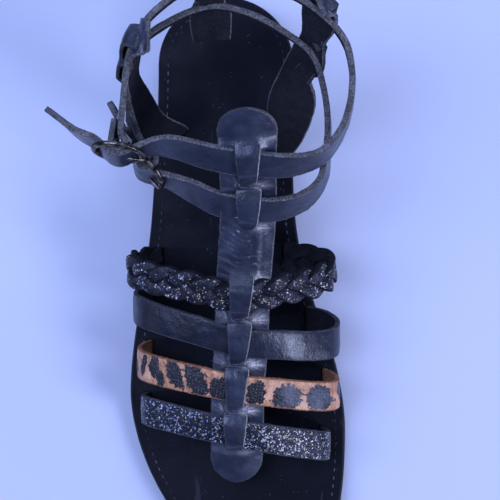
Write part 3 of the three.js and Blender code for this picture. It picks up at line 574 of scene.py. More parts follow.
# Finishes
class Finish:
    def __init__(self, name, color, roughness, **sockets):
        self.material = bpy.data.materials.new(name)
        self.material.use_nodes = True
        self.nodes = self.material.node_tree.nodes
        self.links = self.material.node_tree.links
        self.shader = self.nodes["Principled BSDF"]
        self.shader.inputs["Base Color"].default_value = (*color, 1)
        self.shader.inputs["Roughness"].default_value = roughness
        for key, value in sockets.items():
            self.shader.inputs[key.replace("_", " ")].default_value = value
        self.coordinate = self.nodes.new("ShaderNodeTexCoord").outputs["Object"]
        strip_map = self.nodes.new("ShaderNodeUVMap")
        strip_map.uv_map = "strip"
        self.strip = strip_map.outputs["UV"]
        self.normal = None

    def put(self, socket, value):
        if isinstance(value, bpy.types.NodeSocket):
            self.links.new(value, socket)
        elif isinstance(value, tuple) and len(value) == 3 and socket.type == "RGBA":
            socket.default_value = (*value, 1)
        else:
            socket.default_value = value

    def noise(self, scale, detail=2.0, rough=0.5, distortion=0.0, at=None, stretch=None):
        node = self.nodes.new("ShaderNodeTexNoise")
        self.put(node.inputs["Vector"], self.scaled(at or self.coordinate, stretch))
        node.inputs["Scale"].default_value = scale
        node.inputs["Detail"].default_value = detail
        node.inputs["Roughness"].default_value = rough
        node.inputs["Distortion"].default_value = distortion
        return node.outputs["Fac"]

    def scaled(self, socket, stretch):
        if stretch is None:
            return socket
        node = self.nodes.new("ShaderNodeMapping")
        node.inputs["Scale"].default_value = stretch
        self.links.new(socket, node.inputs["Vector"])
        return node.outputs["Vector"]

    def cells(self, scale, output="Distance", feature="F1", at=None, randomness=1.0):
        node = self.nodes.new("ShaderNodeTexVoronoi")
        node.feature = feature
        self.put(node.inputs["Vector"], at or self.coordinate)
        node.inputs["Scale"].default_value = scale
        node.inputs["Randomness"].default_value = randomness
        return node.outputs[output]

    def strip_along(self):
        node = self.nodes.new("ShaderNodeSeparateXYZ")
        self.links.new(self.strip, node.inputs[0])
        return node.outputs["X"]

    # Reads the rub attribute: real rubbing together with a painted highlight
    def rub_and_highlight_mask(self):
        node = self.nodes.new("ShaderNodeAttribute")
        node.attribute_name = "wear"
        return node.outputs["Fac"]

    def ramp(self, value, low, high, start=0.0, end=1.0):
        node = self.nodes.new("ShaderNodeMapRange")
        node.interpolation_type = "SMOOTHSTEP"
        for key, number in (("From Min", low), ("From Max", high), ("To Min", start), ("To Max", end)):
            node.inputs[key].default_value = number
        self.links.new(value, node.inputs["Value"])
        return node.outputs["Result"]

    def math(self, operation, a, b=0.0):
        node = self.nodes.new("ShaderNodeMath")
        node.operation = operation
        self.put(node.inputs[0], a)
        self.put(node.inputs[1], b)
        return node.outputs[0]

    def mix(self, factor, a, b):
        """Two colours mixed: a colour mix takes them as its inputs 6 and 7."""
        node = self.nodes.new("ShaderNodeMix")
        node.data_type = "RGBA"
        self.put(node.inputs[0], factor)
        self.put(node.inputs[6], a)
        self.put(node.inputs[7], b)
        return node.outputs[2]

    def bump(self, height, strength, depth):
        """Adds relief of a depth in millimetres."""
        node = self.nodes.new("ShaderNodeBump")
        node.inputs["Strength"].default_value = strength
        node.inputs["Distance"].default_value = depth * MM
        self.links.new(height, node.inputs["Height"])
        if self.normal is not None:
            self.links.new(self.normal, node.inputs["Normal"])
        self.normal = node.outputs["Normal"]
        self.links.new(self.normal, self.shader.inputs["Normal"])

    def color(self, value):
        self.put(self.shader.inputs["Base Color"], value)

    def roughness(self, value):
        self.put(self.shader.inputs["Roughness"], value)


BLACK = (0.007, 0.009, 0.018)
BLACK_WORN = (0.018, 0.022, 0.04)
# A lighter black for the spine and stays than for the straps: painted sheen put into the colour
SHEEN_BLACK = (0.019, 0.023, 0.043)
SHEEN_BLACK_WORN = (0.043, 0.05, 0.082)
BRIDGE_BLACK = (0.013, 0.0165, 0.033)
BRIDGE_WORN = (0.03, 0.037, 0.066)
SCUFF = (0.12, 0.12, 0.135)
# Cream of rubbed leather, also used to paint highlights on the lit side of the spine and bridges
RUB_AND_HIGHLIGHT_COLOR = (0.78, 0.72, 0.66)


def black_leather(name, base, worn_color, scuffs=0.5, coat=0.35):
    f = Finish(name, base, 0.4, Specular_IOR_Level=0.6, Coat_Weight=coat, Coat_Roughness=0.26)
    worn_and_highlight = f.ramp(f.noise(90, 4, 0.6), 0.4, 0.7)
    color = f.mix(worn_and_highlight, base, worn_color)
    scuff = f.ramp(f.noise(420, 5, 0.65, 0.4), 0.66, 0.78, 0, scuffs)
    color = f.mix(scuff, color, SCUFF)
    # Cream rays where the rub attribute is set: rubbed streaks and a painted highlight
    streaks = f.noise(900, 4, 0.7, 0.8, stretch=(1.0, 0.45, 1.0))
    rub_and_highlight_mix = f.math("MULTIPLY", f.rub_and_highlight_mask(), f.ramp(streaks, 0.3, 0.58, 0.25, 1))
    color = f.mix(rub_and_highlight_mix, color, RUB_AND_HIGHLIGHT_COLOR)
    f.color(color)
    f.roughness(f.ramp(f.noise(190, 3), 0.3, 0.7, 0.3, 0.48))
    f.bump(f.noise(170, 4, 0.55), 0.5, 0.8)
    f.bump(f.noise(620, 4, 0.6), 0.5, 0.25)
    f.bump(f.noise(800, 3, 0.6, 0.5, at=f.strip, stretch=(1.0, 0.14, 1.0)), 0.3, 0.2)
    f.bump(f.cells(1300, "Distance", "F1"), 0.4, 0.1)
    return f.material


def raw_leather(name, light=(0.26, 0.25, 0.245), dark=(0.045, 0.045, 0.05)):
    f = Finish(name, light, 0.95, Specular_IOR_Level=0.2)
    fibre = f.noise(1500, 5, 0.7, 0.6)
    blotch = f.noise(200, 3, 0.6)
    color = f.mix(f.ramp(blotch, 0.3, 0.7), f.mix(0.35, dark, light), light)
    f.color(f.mix(f.ramp(fibre, 0.4, 0.6, 0, 0.85), color, dark))
    f.bump(fibre, 0.8, 0.35)
    return f.material


# Where the glitter turns from cool to warm, along the strap
GLITTER_WARM_FROM = 45
GLITTER_WARM_TO = 80


def glitter(name, least=0.7):
    f = Finish(name, (0.05, 0.05, 0.055), 0.3, Metallic=0.35)
    wobble = f.noise(500, 2)
    flake = f.cells(1900, "Color")
    split = f.nodes.new("ShaderNodeSeparateColor")
    f.links.new(flake, split.inputs[0])
    red, green, blue = split.outputs[0], split.outputs[1], split.outputs[2]
    dark = f.mix(wobble, (0.006, 0.007, 0.011), (0.026, 0.029, 0.044))
    side = f.ramp(f.strip_along(), GLITTER_WARM_FROM * MM, GLITTER_WARM_TO * MM)
    bright = f.mix(side, (0.7, 0.77, 1.0), (1.0, 0.93, 0.86))
    silver = f.mix(green, (0.06, 0.075, 0.14), bright)
    dense = f.ramp(f.noise(110, 3), 0.35, 0.65, -0.05, 0.07)
    color = f.mix(f.ramp(f.math("ADD", red, dense), least, 0.99), dark, silver)
    color = f.mix(f.ramp(blue, 0.975, 0.98), color, (0.6, 0.42, 0.2))
    f.color(color)
    f.roughness(f.ramp(green, 0, 1, 0.22, 0.5))
    f.bump(red, 0.7, 0.4)
    f.bump(f.cells(1900, "Distance"), 0.6, 0.2)
    return f.material


# Dark patches of the animal print: place along and across the strap, half sizes and lean
PRINT_PATCHES = [
    (3, 0, 3, 3.5, 0.3), (12, -1, 3.4, 4, 0.2), (20, 2, 2.2, 3.4, 0.3),
    (25.6, -1, 1.3, 4.6, 0), (30.6, -1.4, 2.2, 4.4, 0.1), (34, 2.6, 1.7, 3.4, 0.3),
    (40, -0.6, 3.1, 5.8, 0.55), (49, 0, 4, 6.9, 0.62), (58.6, 1.6, 4.4, 4.9, 0.6),
    (72.2, 0.6, 3.7, 4.9, -0.1), (84.4, 0.9, 5.6, 4.9, 0.1), (98, 0.8, 5.6, 4.7, 0),
    (110, -1, 3, 4, 0.4), (119, 1, 3, 3.6, 0.2), (127, 0, 2.4, 3, 0.3),
]
# Where the painted sheen on the dark patches begins and is full, along the strap
PRINT_SHEEN_FROM = 76
PRINT_SHEEN_TO = 86


def patches(f, at):
    """How far a place lies from the nearest patch, where 1 is the patch's edge."""
    nearest = None
    for along, across, half_along, half_across, lean in PRINT_PATCHES:
        node = f.nodes.new("ShaderNodeMapping")
        node.vector_type = "TEXTURE"
        node.inputs["Location"].default_value = (along * MM, across * MM, 0)
        node.inputs["Rotation"].default_value = (0, 0, -lean)
        node.inputs["Scale"].default_value = (half_along * MM, half_across * MM, 1)
        f.links.new(at, node.inputs["Vector"])
        length = f.nodes.new("ShaderNodeVectorMath")
        length.operation = "LENGTH"
        f.links.new(node.outputs["Vector"], length.inputs[0])
        away = length.outputs["Value"]
        nearest = away if nearest is None else f.math("MINIMUM", nearest, away)
    return nearest


def animal_print(name):
    """Tan leather with dark patches that lean across the strap."""
    tan = (0.42, 0.185, 0.09)
    f = Finish(name, tan, 0.5, Coat_Weight=0.15, Coat_Roughness=0.35)
    warm = f.mix(f.ramp(f.noise(230, 5, 0.65), 0.3, 0.7), (0.4, 0.16, 0.068), (0.95, 0.5, 0.28))
    ragged = f.noise(420, 4, 0.7, at=f.strip)
    away = f.math("ADD", patches(f, f.strip), f.ramp(ragged, 0.25, 0.75, -0.34, 0.3))
    patch = f.ramp(away, 0.98, 1.08, 1, 0)
    dots = f.ramp(f.cells(820, "Distance", "F1", f.strip, 0.3), 0.16, 0.3, 0.5, 0)
    ink = f.mix(dots, (0.01, 0.0105, 0.015), (0.25, 0.2, 0.19))
    # Painted sheen: the dark patches turn pale blue-grey towards the strap's medial end
    painted_sheen = f.ramp(f.strip_along(), PRINT_SHEEN_FROM * MM, PRINT_SHEEN_TO * MM, 0, 0.62)
    painted_sheen = f.math("MULTIPLY", painted_sheen, f.ramp(f.noise(210, 3), 0.3, 0.62))
    ink = f.mix(painted_sheen, ink, (0.12, 0.135, 0.17))
    f.color(f.mix(patch, warm, ink))
    f.bump(f.cells(1000, "Distance"), 0.8, 0.3)
    f.bump(f.noise(220, 3), 0.4, 0.4)
    return f.material


def footbed_leather(name):
    base = (0.003, 0.0036, 0.0075)
    f = Finish(name, base, 0.5, Specular_IOR_Level=0.13)
    worn_and_highlight = f.ramp(f.noise(28, 5, 0.6), 0.45, 0.75)
    color = f.mix(worn_and_highlight, base, (0.006, 0.007, 0.014))
    scratch = f.ramp(f.noise(260, 4, 0.5, 0.3, stretch=(1.0, 0.12, 1.0)), 0.66, 0.72, 0, 0.4)
    color = f.mix(scratch, color, (0.045, 0.05, 0.065))
    dust = f.ramp(f.cells(620, "Distance"), 0.055, 0.1, 1, 0)
    where = f.ramp(f.noise(240, 3), 0.54, 0.64)
    color = f.mix(f.math("MULTIPLY", dust, where), color, (0.28, 0.29, 0.33))
    f.color(color)
    f.roughness(f.ramp(f.noise(70, 4), 0.3, 0.7, 0.42, 0.62))
    f.bump(f.noise(420, 4, 0.6), 0.35, 0.25)
    f.bump(f.cells(1500), 0.25, 0.08)
    return f.material


def rubber(name):
    base = (0.014, 0.014, 0.017)
    f = Finish(name, base, 0.68)
    f.color(f.mix(f.ramp(f.noise(200, 4), 0.45, 0.8), base, (0.05, 0.05, 0.055)))
    f.bump(f.noise(900, 4), 0.3, 0.15)
    return f.material


def old_brass(name):
    f = Finish(name, (0.2, 0.15, 0.09), 0.34, Metallic=1.0)
    tarnish = f.ramp(f.noise(420, 4, 0.6), 0.34, 0.6)
    f.color(f.mix(tarnish, (0.3, 0.25, 0.2), (0.05, 0.042, 0.038)))
    f.roughness(f.ramp(f.noise(300, 3), 0.3, 0.7, 0.24, 0.46))
    f.bump(f.noise(700, 3), 0.25, 0.12)
    return f.material


def thread(name):
    f = Finish(name, (0.05, 0.052, 0.065), 0.85)
    f.color(f.mix(f.ramp(f.noise(60, 3), 0.35, 0.65), (0.012, 0.013, 0.02), (0.13, 0.14, 0.17)))
    return f.material


# Spine and stay leather, lighter than the straps' as painted sheen
LEATHER = black_leather("black_leather_painted_sheen", SHEEN_BLACK, SHEEN_BLACK_WORN)
STRAP_LEATHER = black_leather("black_leather", BLACK, BLACK_WORN, coat=0.12)
ANKLE_LEATHER = black_leather("ankle_strap_leather", BRIDGE_BLACK, BRIDGE_WORN, 0.4, 0.2)
BRIDGE_LEATHER = black_leather("scuffed_black_leather", BRIDGE_BLACK, BRIDGE_WORN, 0.7, 0.28)
RAW = raw_leather("raw_edge")
CUT = raw_leather("cut_edge", (0.13, 0.128, 0.135), (0.03, 0.031, 0.037))
# Paler cut edges for the right sides of spine and bridges: painted highlight where the light falls
SPINE_HIGHLIGHT_CUT = raw_leather("spine_cut_edge_painted_highlight", (0.26, 0.25, 0.25), (0.07, 0.068, 0.07))
HIGHLIGHT_CUT = raw_leather("cut_edge_painted_highlight", (0.62, 0.58, 0.54), (0.19, 0.178, 0.17))
EDGE_DARK = raw_leather("dark_cut_edge", (0.022, 0.022, 0.027), (0.006, 0.006, 0.009))
TAN_CUT = raw_leather("tan_cut_edge", (0.5, 0.235, 0.12), (0.25, 0.105, 0.05))
FLESH = raw_leather("flesh_side", (0.03, 0.03, 0.036), (0.01, 0.01, 0.014))
GLITTER = glitter("glitter_leather")
# Fewer bright flakes on the braid: painted shade
SHADED_BRAID_GLITTER = glitter("braid_glitter_painted_shade", 0.88)
PRINT = animal_print("animal_print_leather")
FOOTBED = footbed_leather("insole_leather")
RUBBER = rubber("black_rubber")
BRASS = old_brass("old_brass")
THREAD = thread("sewing_thread")


# Camera, straight above the shoe
CAMERA_HEIGHT = 600
CAMERA_OVER = (9.63, -74.6)
FLOOR_SCALE = 2.43
IMAGE_WIDTH = 500
SENSOR = 36
camera_data = bpy.data.cameras.new("camera")
camera_data.sensor_width = SENSOR
camera_data.lens = SENSOR * FLOOR_SCALE * CAMERA_HEIGHT / IMAGE_WIDTH
camera_data.clip_start = 0.01
camera = bpy.data.objects.new("camera", camera_data)
camera.location = (CAMERA_OVER[0] * MM, CAMERA_OVER[1] * MM, CAMERA_HEIGHT * MM)
bpy.context.scene.collection.objects.link(camera)
bpy.context.scene.camera = camera


# The sole: each layer is a loft of half sections from heel to toe
def sole_rings(start, end, steps, inset, side, top, bottom):
    rings = []
    for i in range(steps + 1):
        along = start + (end - start) * (0.5 - 0.5 * math.cos(math.pi * i / steps))
        lateral, medial = edges(along)
        middle = (lateral + medial) / 2
        y = y_at(0.5 + (along - 0.5) * (1 - 2 * inset / SOLE_LENGTH))
        high = top(along)
        low = bottom(along)
        lines = [(high + (low - high) * deep, 1 - (cut + inset) / HALF_BALL) for deep, cut in side]
        right = [(middle + (medial - middle) * k, y, z) for z, k in lines]
        left = [(middle + (lateral - middle) * k, y, z) for z, k in reversed(lines)]
        rings.append(right + left)
    return np.array(rings)


def rounded(top_radius, bottom_radius, depth, steps=5):
    """A side with round corners: depth shares and how far each line is cut in."""
    quarter = [math.pi / 2 * i / steps for i in range(steps + 1)]
    top = [(top_radius * (1 - math.cos(a)), top_radius * (1 - math.sin(a))) for a in quarter]
    low = [(bottom_radius * (1 - math.sin(a)), bottom_radius * (1 - math.cos(a))) for a in quarter]
    return [(z / depth, cut) for z, cut in top] + [(1 - z / depth, cut) for z, cut in low]


def outsole_top(along):
    return carry(along) + OUTSOLE_THICKNESS


def footbed_under(along):
    return footbed_top(along) - FOOTBED_THICKNESS


def heel_top(along):
    return HEEL_LIFT - FIT_GAP


def ground(along):
    return 0


# Sides of the layers: depth as a share, and how far each line is cut in
OUTSOLE_SIDE = [
    (0, 0.25), (0.03, 0.06), (0.1, 0), (0.5, 0), (0.56, 0.06), (0.6, 0.3), (0.64, 0.62), (0.68, 0.7),
    (0.9, 0.78), (0.96, 0.95), (1, 1.3),
]
HEEL_SIDE = [
    (0, 0.3), (0.04, 0.08), (0.1, 0), (0.42, 0), (0.46, 0.12), (0.48, 0.5), (0.52, 0.5), (0.54, 0.12),
    (0.58, 0), (0.9, 0.25), (0.96, 0.4), (1, 0.75),
]
FOOTBED_SIDE = rounded(0.8, 0.3, FOOTBED_THICKNESS)
END = 0.0004
SOLE_STEPS = 220
HEEL_STEPS = 90

rings = sole_rings(END, 1 - END, SOLE_STEPS, 0, OUTSOLE_SIDE, outsole_top, carry)
place(skin("outsole_rubber", rings, [RUBBER]), "outsole", "outsole")

rings = sole_rings(END, heel_end, HEEL_STEPS, HEEL_INSET, HEEL_SIDE, heel_top, ground)
place(skin("heel_lift", rings, [RUBBER]), "heel", "heel")

rings = sole_rings(
    END, 1 - END, SOLE_STEPS, FOOTBED_INSET, FOOTBED_SIDE, footbed_top, footbed_under
)
footbed = skin("footbed_leather", rings, [FOOTBED, RAW])


# Strap routes
def cross_route(spec, width, thickness, slope):
    """A strap's way from its lateral slot over the foot to its medial slot."""
    crest = vec(
        spec["crest"][1] * HALF_BALL,
        y_at(spec["crest"][0]),
        footbed_top(spec["crest"][0]) + spec["crest"][2] * INSTEP_HEIGHT,
    )
    toe = vec(0, -1, 0)

    def side_rows(slot, bulge):
        floor = footbed_top(slot[0])
        foot = vec(slot[1] * HALF_BALL, y_at(slot[0]), floor)
        outmost = vec(bulge[1] * HALF_BALL, y_at(bulge[0]), floor)
        rows = [(foot - vec(0, 0, SLOT_DEPTH), toe, width, thickness), (foot, toe, width, thickness)]
        for up, out, fore, over in ARCH:
            point = foot + (outmost - foot) * vec(out, fore, 1)
            point = point + (crest - point) * over
            point[2] = floor + (crest[2] - floor) * up
            rows.append((point, toe + (slope - toe) * over, width, thickness))
        return rows

    lateral = side_rows(*spec["lateral"])
    medial = side_rows(*spec["medial"])
    return Route([*lateral, (crest, slope, width, thickness), *reversed(medial)])


def ankle_point(row, height):
    return vec(row[1] * HEEL_RADIUS, y_at(row[0]), footbed_top(0) + row[2] * height)


HALF_WIRE = BUCKLE_WIRE_THICKNESS / 2
STRAP_HALF = ANKLE_STRAP_THICKNESS / 2
RIM_DROP = HALF_WIRE + FIT_GAP + STRAP_HALF
FOLD_RADIUS = BUCKLE_BAR_RADIUS + FIT_GAP + STRAP_HALF
BAR_RISE = FOLD_RADIUS + 2 * STRAP_HALF - BUCKLE_BAR_DROP - SEAM_SINK
RIM_REACH = BUCKLE_LENGTH / 2 - BUCKLE_WIRE_WIDTH / 2


def leaning_route(rows, height):
    """A strap's rows, each turned to lie along the strap and lean as its row says."""
    points = [ankle_point(row, height) for row in rows]
    curve = Curve(points)
    turned = []
    for i, row in enumerate(rows):
        along = curve.tangent(i)[0]
        flat = unit(vec(along[0], along[1], 0))
        outward = np.cross(flat, vec(0, 0, 1))
        lean = math.radians(row[3])
        across = outward * math.sin(lean) + vec(0, 0, -math.cos(lean))
        turned.append((points[i], across, row[4] * ANKLE_STRAP_WIDTH, ANKLE_STRAP_THICKNESS))
    return Route(turned)


def row_of(rows, what):
    return next(i for i, row in enumerate(rows) if row[5] == what)


FOLD_TURN_STEPS = 7
FOLD_REACH = 9


class AnkleStrap:
    """An ankle strap, which dips under the buckle's frame and rises over its bar."""

    def __init__(self, rows, height):
        plain = leaning_route(rows, height)
        bar = row_of(rows, "bar")
        self.buckle = plain.frames(bar)
        final = []
        for i, row in enumerate(rows):
            here = plain.frames(i)
            point, across = here.point[0], here.across[0]
            if row[5] == "bar":
                point = self.buckle.offset(0, 0, BAR_RISE)
            if row[5] == "rim":
                point = self.buckle.offset(math.copysign(RIM_REACH, i - bar), 0, -RIM_DROP)
                across = self.buckle.across[0]
            final.append((point, across, here.width[0], here.thickness[0]))
        self.route = Route(final)
        self.crest = self.route.frames(row_of(rows, "spine"))
        self.stays = {side: self.route.frames(row_of(rows, side)) for side in STAY_FEET}

    def fold(self):
        """The strap's other end, which turns round the bar and lies back on itself."""
        end = self.route.frames(self.route.last)
        bar = self.buckle.offset(0, 0, -BUCKLE_BAR_DROP)
        side = self.buckle.across[0]
        back = end.point[0] - bar
        back = unit(back - side * np.dot(back, side))
        sideways = np.cross(side, back)
        size = (ANKLE_STRAP_WIDTH, ANKLE_STRAP_THICKNESS)

        def turn(angle, reach):
            point = bar + back * (reach - FOLD_RADIUS * math.sin(angle))
            return (point + sideways * FOLD_RADIUS * math.cos(angle), side, *size)

        rows = [(end.point[0], end.across[0], *size), turn(0, FOLD_RADIUS)]
        rows += [turn(math.pi * i / FOLD_TURN_STEPS, 0) for i in range(FOLD_TURN_STEPS + 1)]
        rows.append(turn(math.pi, FOLD_REACH))
        return Route(rows)


upper_strap = AnkleStrap(UPPER_STRAP, ANKLE_HEIGHT)
lower_strap = AnkleStrap(LOWER_STRAP, INSTEP_HEIGHT)

crest_points = [
    vec(across * HALF_BALL, y_at(along), footbed_top(along) + up * INSTEP_HEIGHT)
    for along, across, up in (spec["crest"] for spec in CROSS_STRAPS.values())
]
crest_points += [lower_strap.crest.point[0], upper_strap.crest.point[0]]
crest_line = Curve(crest_points)
crest_slopes = [-crest_line.tangent(i)[0] for i in range(len(crest_points))]


# Cross straps
def leather_relief(seed, depth=0.25, long_scale=0.09):
    """Soft unevenness of a worn strap."""
    def relief(s, a):
        points = np.stack([s, a * 1.5], axis=1)
        return depth * wander(points, long_scale, seed) + 0.3 * depth * wander(points, 0.35, seed + 7)
    return relief


# Steps per row along each kind of strip
CROSS_STEPS = 24
BRAID_STEPS = 30
ANKLE_STEPS = 26
FOLD_STEPS = 8
STAY_STEPS = 18

cross_routes = {}
for number, (name, spec) in enumerate(CROSS_STRAPS.items()):
    braided = name == "braid"
    width = BRAID_WIDTH if braided else CROSS_STRAP_WIDTH
    thickness = BRAID_THICKNESS if braided else CROSS_STRAP_THICKNESS
    cross_routes[name] = (cross_route(spec, width, thickness, crest_slopes[number]), width, thickness)

# Materials of each strap's top, edges and back, and how rough its cut is
FACES = {
    "glitter": ([GLITTER, CUT, FLESH], 0.08),
    "animal_print": ([PRINT, TAN_CUT, TAN_CUT], 0.4),
    "plain": ([STRAP_LEATHER, CUT, FLESH], 0.06),
}
for number, (name, (materials, fuzz)) in enumerate(FACES.items()):
    upper_strip(
        f"strap_{name}", cross_routes[name][0].dense(CROSS_STEPS), materials, edge=0.55, crown=0.3,
        fuzz=fuzz, relief=leather_relief(number * 11.0), seed=number * 5.0,
    )


# How far from its ends the braid is gathered, and how much
BRAID_TAPER = 6
BRAID_END_SPREAD = 0.45
BRAID_END_WIDTH = 0.8


def braid_strands(path):
    """Three flat strands that cross over each other."""
    frames = path.dense(BRAID_STEPS)
    s = lengths(frames.point)
    reach = (BRAID_WIDTH - BRAID_STRAND_WIDTH) / 2
    lift = (BRAID_THICKNESS - BRAID_STRAND_THICKNESS) / 2
    near = smooth(np.minimum(s, s[-1] - s) / BRAID_TAPER)
    for number in range(3):
        angle = 2 * math.pi * (s / BRAID_PLAIT_LENGTH + number / 3)
        at = reach * np.sin(angle) * (BRAID_END_SPREAD + (1 - BRAID_END_SPREAD) * near)
        high = lift * np.sin(2 * angle) * near
        point = frames.point + frames.across * at[:, None] + frames.out * high[:, None]
        along = unit(np.gradient(point, axis=0))
        across = np.cross(along, frames.out)
        width = BRAID_STRAND_WIDTH * (BRAID_END_WIDTH + (1 - BRAID_END_WIDTH) * near)
        strand = Frames(point, along, across, width, np.full(len(s), BRAID_STRAND_THICKNESS))
        upper_strip(
            f"braid_strand_{number + 1}", strand, [SHADED_BRAID_GLITTER, EDGE_DARK, FLESH], edge=0.6,
            crown=0.45, relief=leather_relief(40 + number * 3.0), seed=60 + number,
        )


braid_strands(cross_routes["braid"][0])


# The spine with its bridges
def under(crest, strap_thickness):
    """The spine's row under a strap's crest."""
    drop = (strap_thickness + SPINE_THICKNESS) / 2 - SEAM_SINK
    return (crest.offset(0, 0, -drop), vec(1, 0, 0), SPINE_WIDTH, SPINE_THICKNESS)


ROUND_STEPS = 12
ROUND_TURN = 0.495 * math.pi
TOE_END_SHARE = 1.25
TOE_END_DIP = 0.12


def round_end(row, way, radius, share):
    """Rows of a half round end past a row, which begins a share of the radius away."""
    rows = []
    for i in range(ROUND_STEPS):
        angle = ROUND_TURN * i / (ROUND_STEPS - 1)
        point = row[0] + way * radius * (share + math.sin(angle))
        rows.append((point, row[1], 2 * radius * math.cos(angle), row[3]))
    return rows


crossings = [(route.frames(route.last / 2), w, t) for route, w, t in cross_routes.values()]
crossings += [(s.crest, ANKLE_STRAP_WIDTH, ANKLE_STRAP_THICKNESS) for s in (lower_strap, upper_strap)]
crest_rows = [under(crest, t) for crest, w, t in crossings]
toe_way = unit(crest_rows[0][0] - crest_rows[1][0])
toe_way = unit(toe_way - vec(0, 0, TOE_END_DIP))
disc_way = unit(crest_rows[-1][0] - crest_rows[-2][0])
toe_rows = round_end(crest_rows[0], toe_way, SPINE_WIDTH / 2, TOE_END_SHARE)
disc_rows = round_end(crest_rows[-1], disc_way, SPINE_DISC_WIDTH / 2, 1)
spine_route = Route([*reversed(toe_rows), *crest_rows, *disc_rows])
last_toe_row = len(toe_rows) - 1
first_disc_row = len(toe_rows) + len(crest_rows)
TOE_END_STEPS = 40
CREST_STEPS = 420
DISC_STEPS = 50
spine_rows = np.concatenate([
    np.linspace(0, last_toe_row, TOE_END_STEPS),
    np.linspace(last_toe_row, first_disc_row, CREST_STEPS)[1:-1],
    np.linspace(first_disc_row, spine_route.last, DISC_STEPS),
])
spine = spine_route.frames(spine_rows)
spine_s = lengths(spine.point)
crest_s = [
    spine_s[int(np.argmin(np.linalg.norm(spine.point - row[0], axis=1)))] for row in crest_rows
]

# Creases where the instep bends, between the braid and the lower ankle strap: place as a
# share of the way, depth, half width and how far they run back towards the edges
CREASES = [
    (0.03, 0.4, 0.6, 0.2), (0.1, 0.55, 0.5, 0.3), (0.17, 0.45, 0.6, 0.22), (0.24, 0.65, 0.5, 0.34),
    (0.31, 0.5, 0.45, 0.26), (0.38, 0.75, 0.5, 0.36), (0.45, 0.5, 0.45, 0.42), (0.52, 0.8, 0.55, 0.5),
    (0.6, 0.55, 0.45, 0.56), (0.67, 0.75, 0.5, 0.62), (0.75, 0.5, 0.5, 0.66), (0.83, 0.6, 0.5, 0.6),
    (0.91, 0.4, 0.5, 0.5),
]
CREASE_MARGIN = 6
CREASE_SWAY = 1.3
CREASE_TURN_AT = 0.6
LONG_RIDGE_AT = 4.6
LONG_RIDGE_RISE = 0.28

# How much the spine's round ends bend down towards their sides
END_BOW = 0.021

# How high the spine stands between two straps, and how the leather is gathered there
JUNCTION_RISE = {0: 1.1, 1: 1.1, 2: 1.5, 4: 0.8}
JUNCTION_HALF = 4.3
FOREFOOT_SHIFT = -0.9
PINCH_AT = 4.1
PUCKER_TURNS = [-1.1, -0.55, 0, 0.55, 1.1]
PUCKER_RISE = 0.42
PUCKER_HALF = 0.42
PUCKER_REACH = 3.4
PUCKER_START = 1.2
PUCKER_SPREAD = 0.22

# Where the outer straps' edges lie on the spine, the way to the strap, and the swell there
BRIDGE_OUTER_EDGES = [
    (crest_s[0] - CROSS_STRAP_WIDTH / 2, 1),
    (crest_s[3] + BRAID_WIDTH / 2, -1),
    (crest_s[4] - ANKLE_STRAP_WIDTH / 2, 1),
    (crest_s[5] + ANKLE_STRAP_WIDTH / 2, -1),
]
SWELL_RISE = 1.7
SWELL_REACH = 5.5
SWELL_END = 1.6
SWELL_FALL = 2.2
SWELL_HALF = 5.6

# Rubbed places of the spine, which also paint highlights, mostly on its lit right side: place along and
# across, reach along and across, and how much
RUB_AND_HIGHLIGHT_PLACES = [
    (14.2, 3.2, 1.5, 2.6, 0.5), (32.7, 4.6, 1.6, 2.9, 0.95), (52, 5.6, 1.8, 2.9, 1), (70.6, 6.4, 2, 3, 1),
    (32.6, -6, 1.2, 2, 0.2), (51.6, -6.4, 1.2, 2, 0.2), (70.2, -6.4, 1.3, 2, 0.2),
    (87.8, 6.2, 1.6, 3, 0.75), (109, 5, 1.8, 2.8, 0.85), (99, 5.2, 9, 0.9, 0.22), (112, 8.6, 2.4, 1.6, 0.5),
    (104, 8, 5, 2, 0.12), (92, 8, 4, 2, 0.15), (127, 5, 1.4, 3, 0.4),
]


def junction(number):
    return (crest_s[number] + crest_s[number + 1]) / 2


def outer_swell(s, a):
    """The spine swells where an outer bridge leaves it."""
    out = 0
    for edge, way in BRIDGE_OUTER_EDGES:
        away = (s - edge) * way
        rise = smooth(away / SWELL_REACH + 1) * smooth(SWELL_END - away / SWELL_FALL)
        out = out + SWELL_RISE * rise * np.exp(-((a / SWELL_HALF) ** 4))
    return out


def puckers(s, a):
    """Small folds that spread from both sides of each place where the bridges come down."""
    out = 0
    for number in JUNCTION_RISE:
        shift = FOREFOOT_SHIFT if number < 4 else 0
        for side in (-1, 1):
            ds = s - junction(number)
            da = (a - shift) * side - PINCH_AT
            for turn in PUCKER_TURNS:
                run = ds * math.sin(turn) + da * math.cos(turn)
                off = ds * math.cos(turn) - da * math.sin(turn)
                begin = smooth((run + PUCKER_START) / PUCKER_START)
                fade = np.exp(-np.maximum(run, 0) / PUCKER_REACH) * begin
                thick = PUCKER_HALF * (1 + PUCKER_SPREAD * np.maximum(run, 0))
                out = out + PUCKER_RISE * fade * np.exp(-((off / thick) ** 2))
    return out


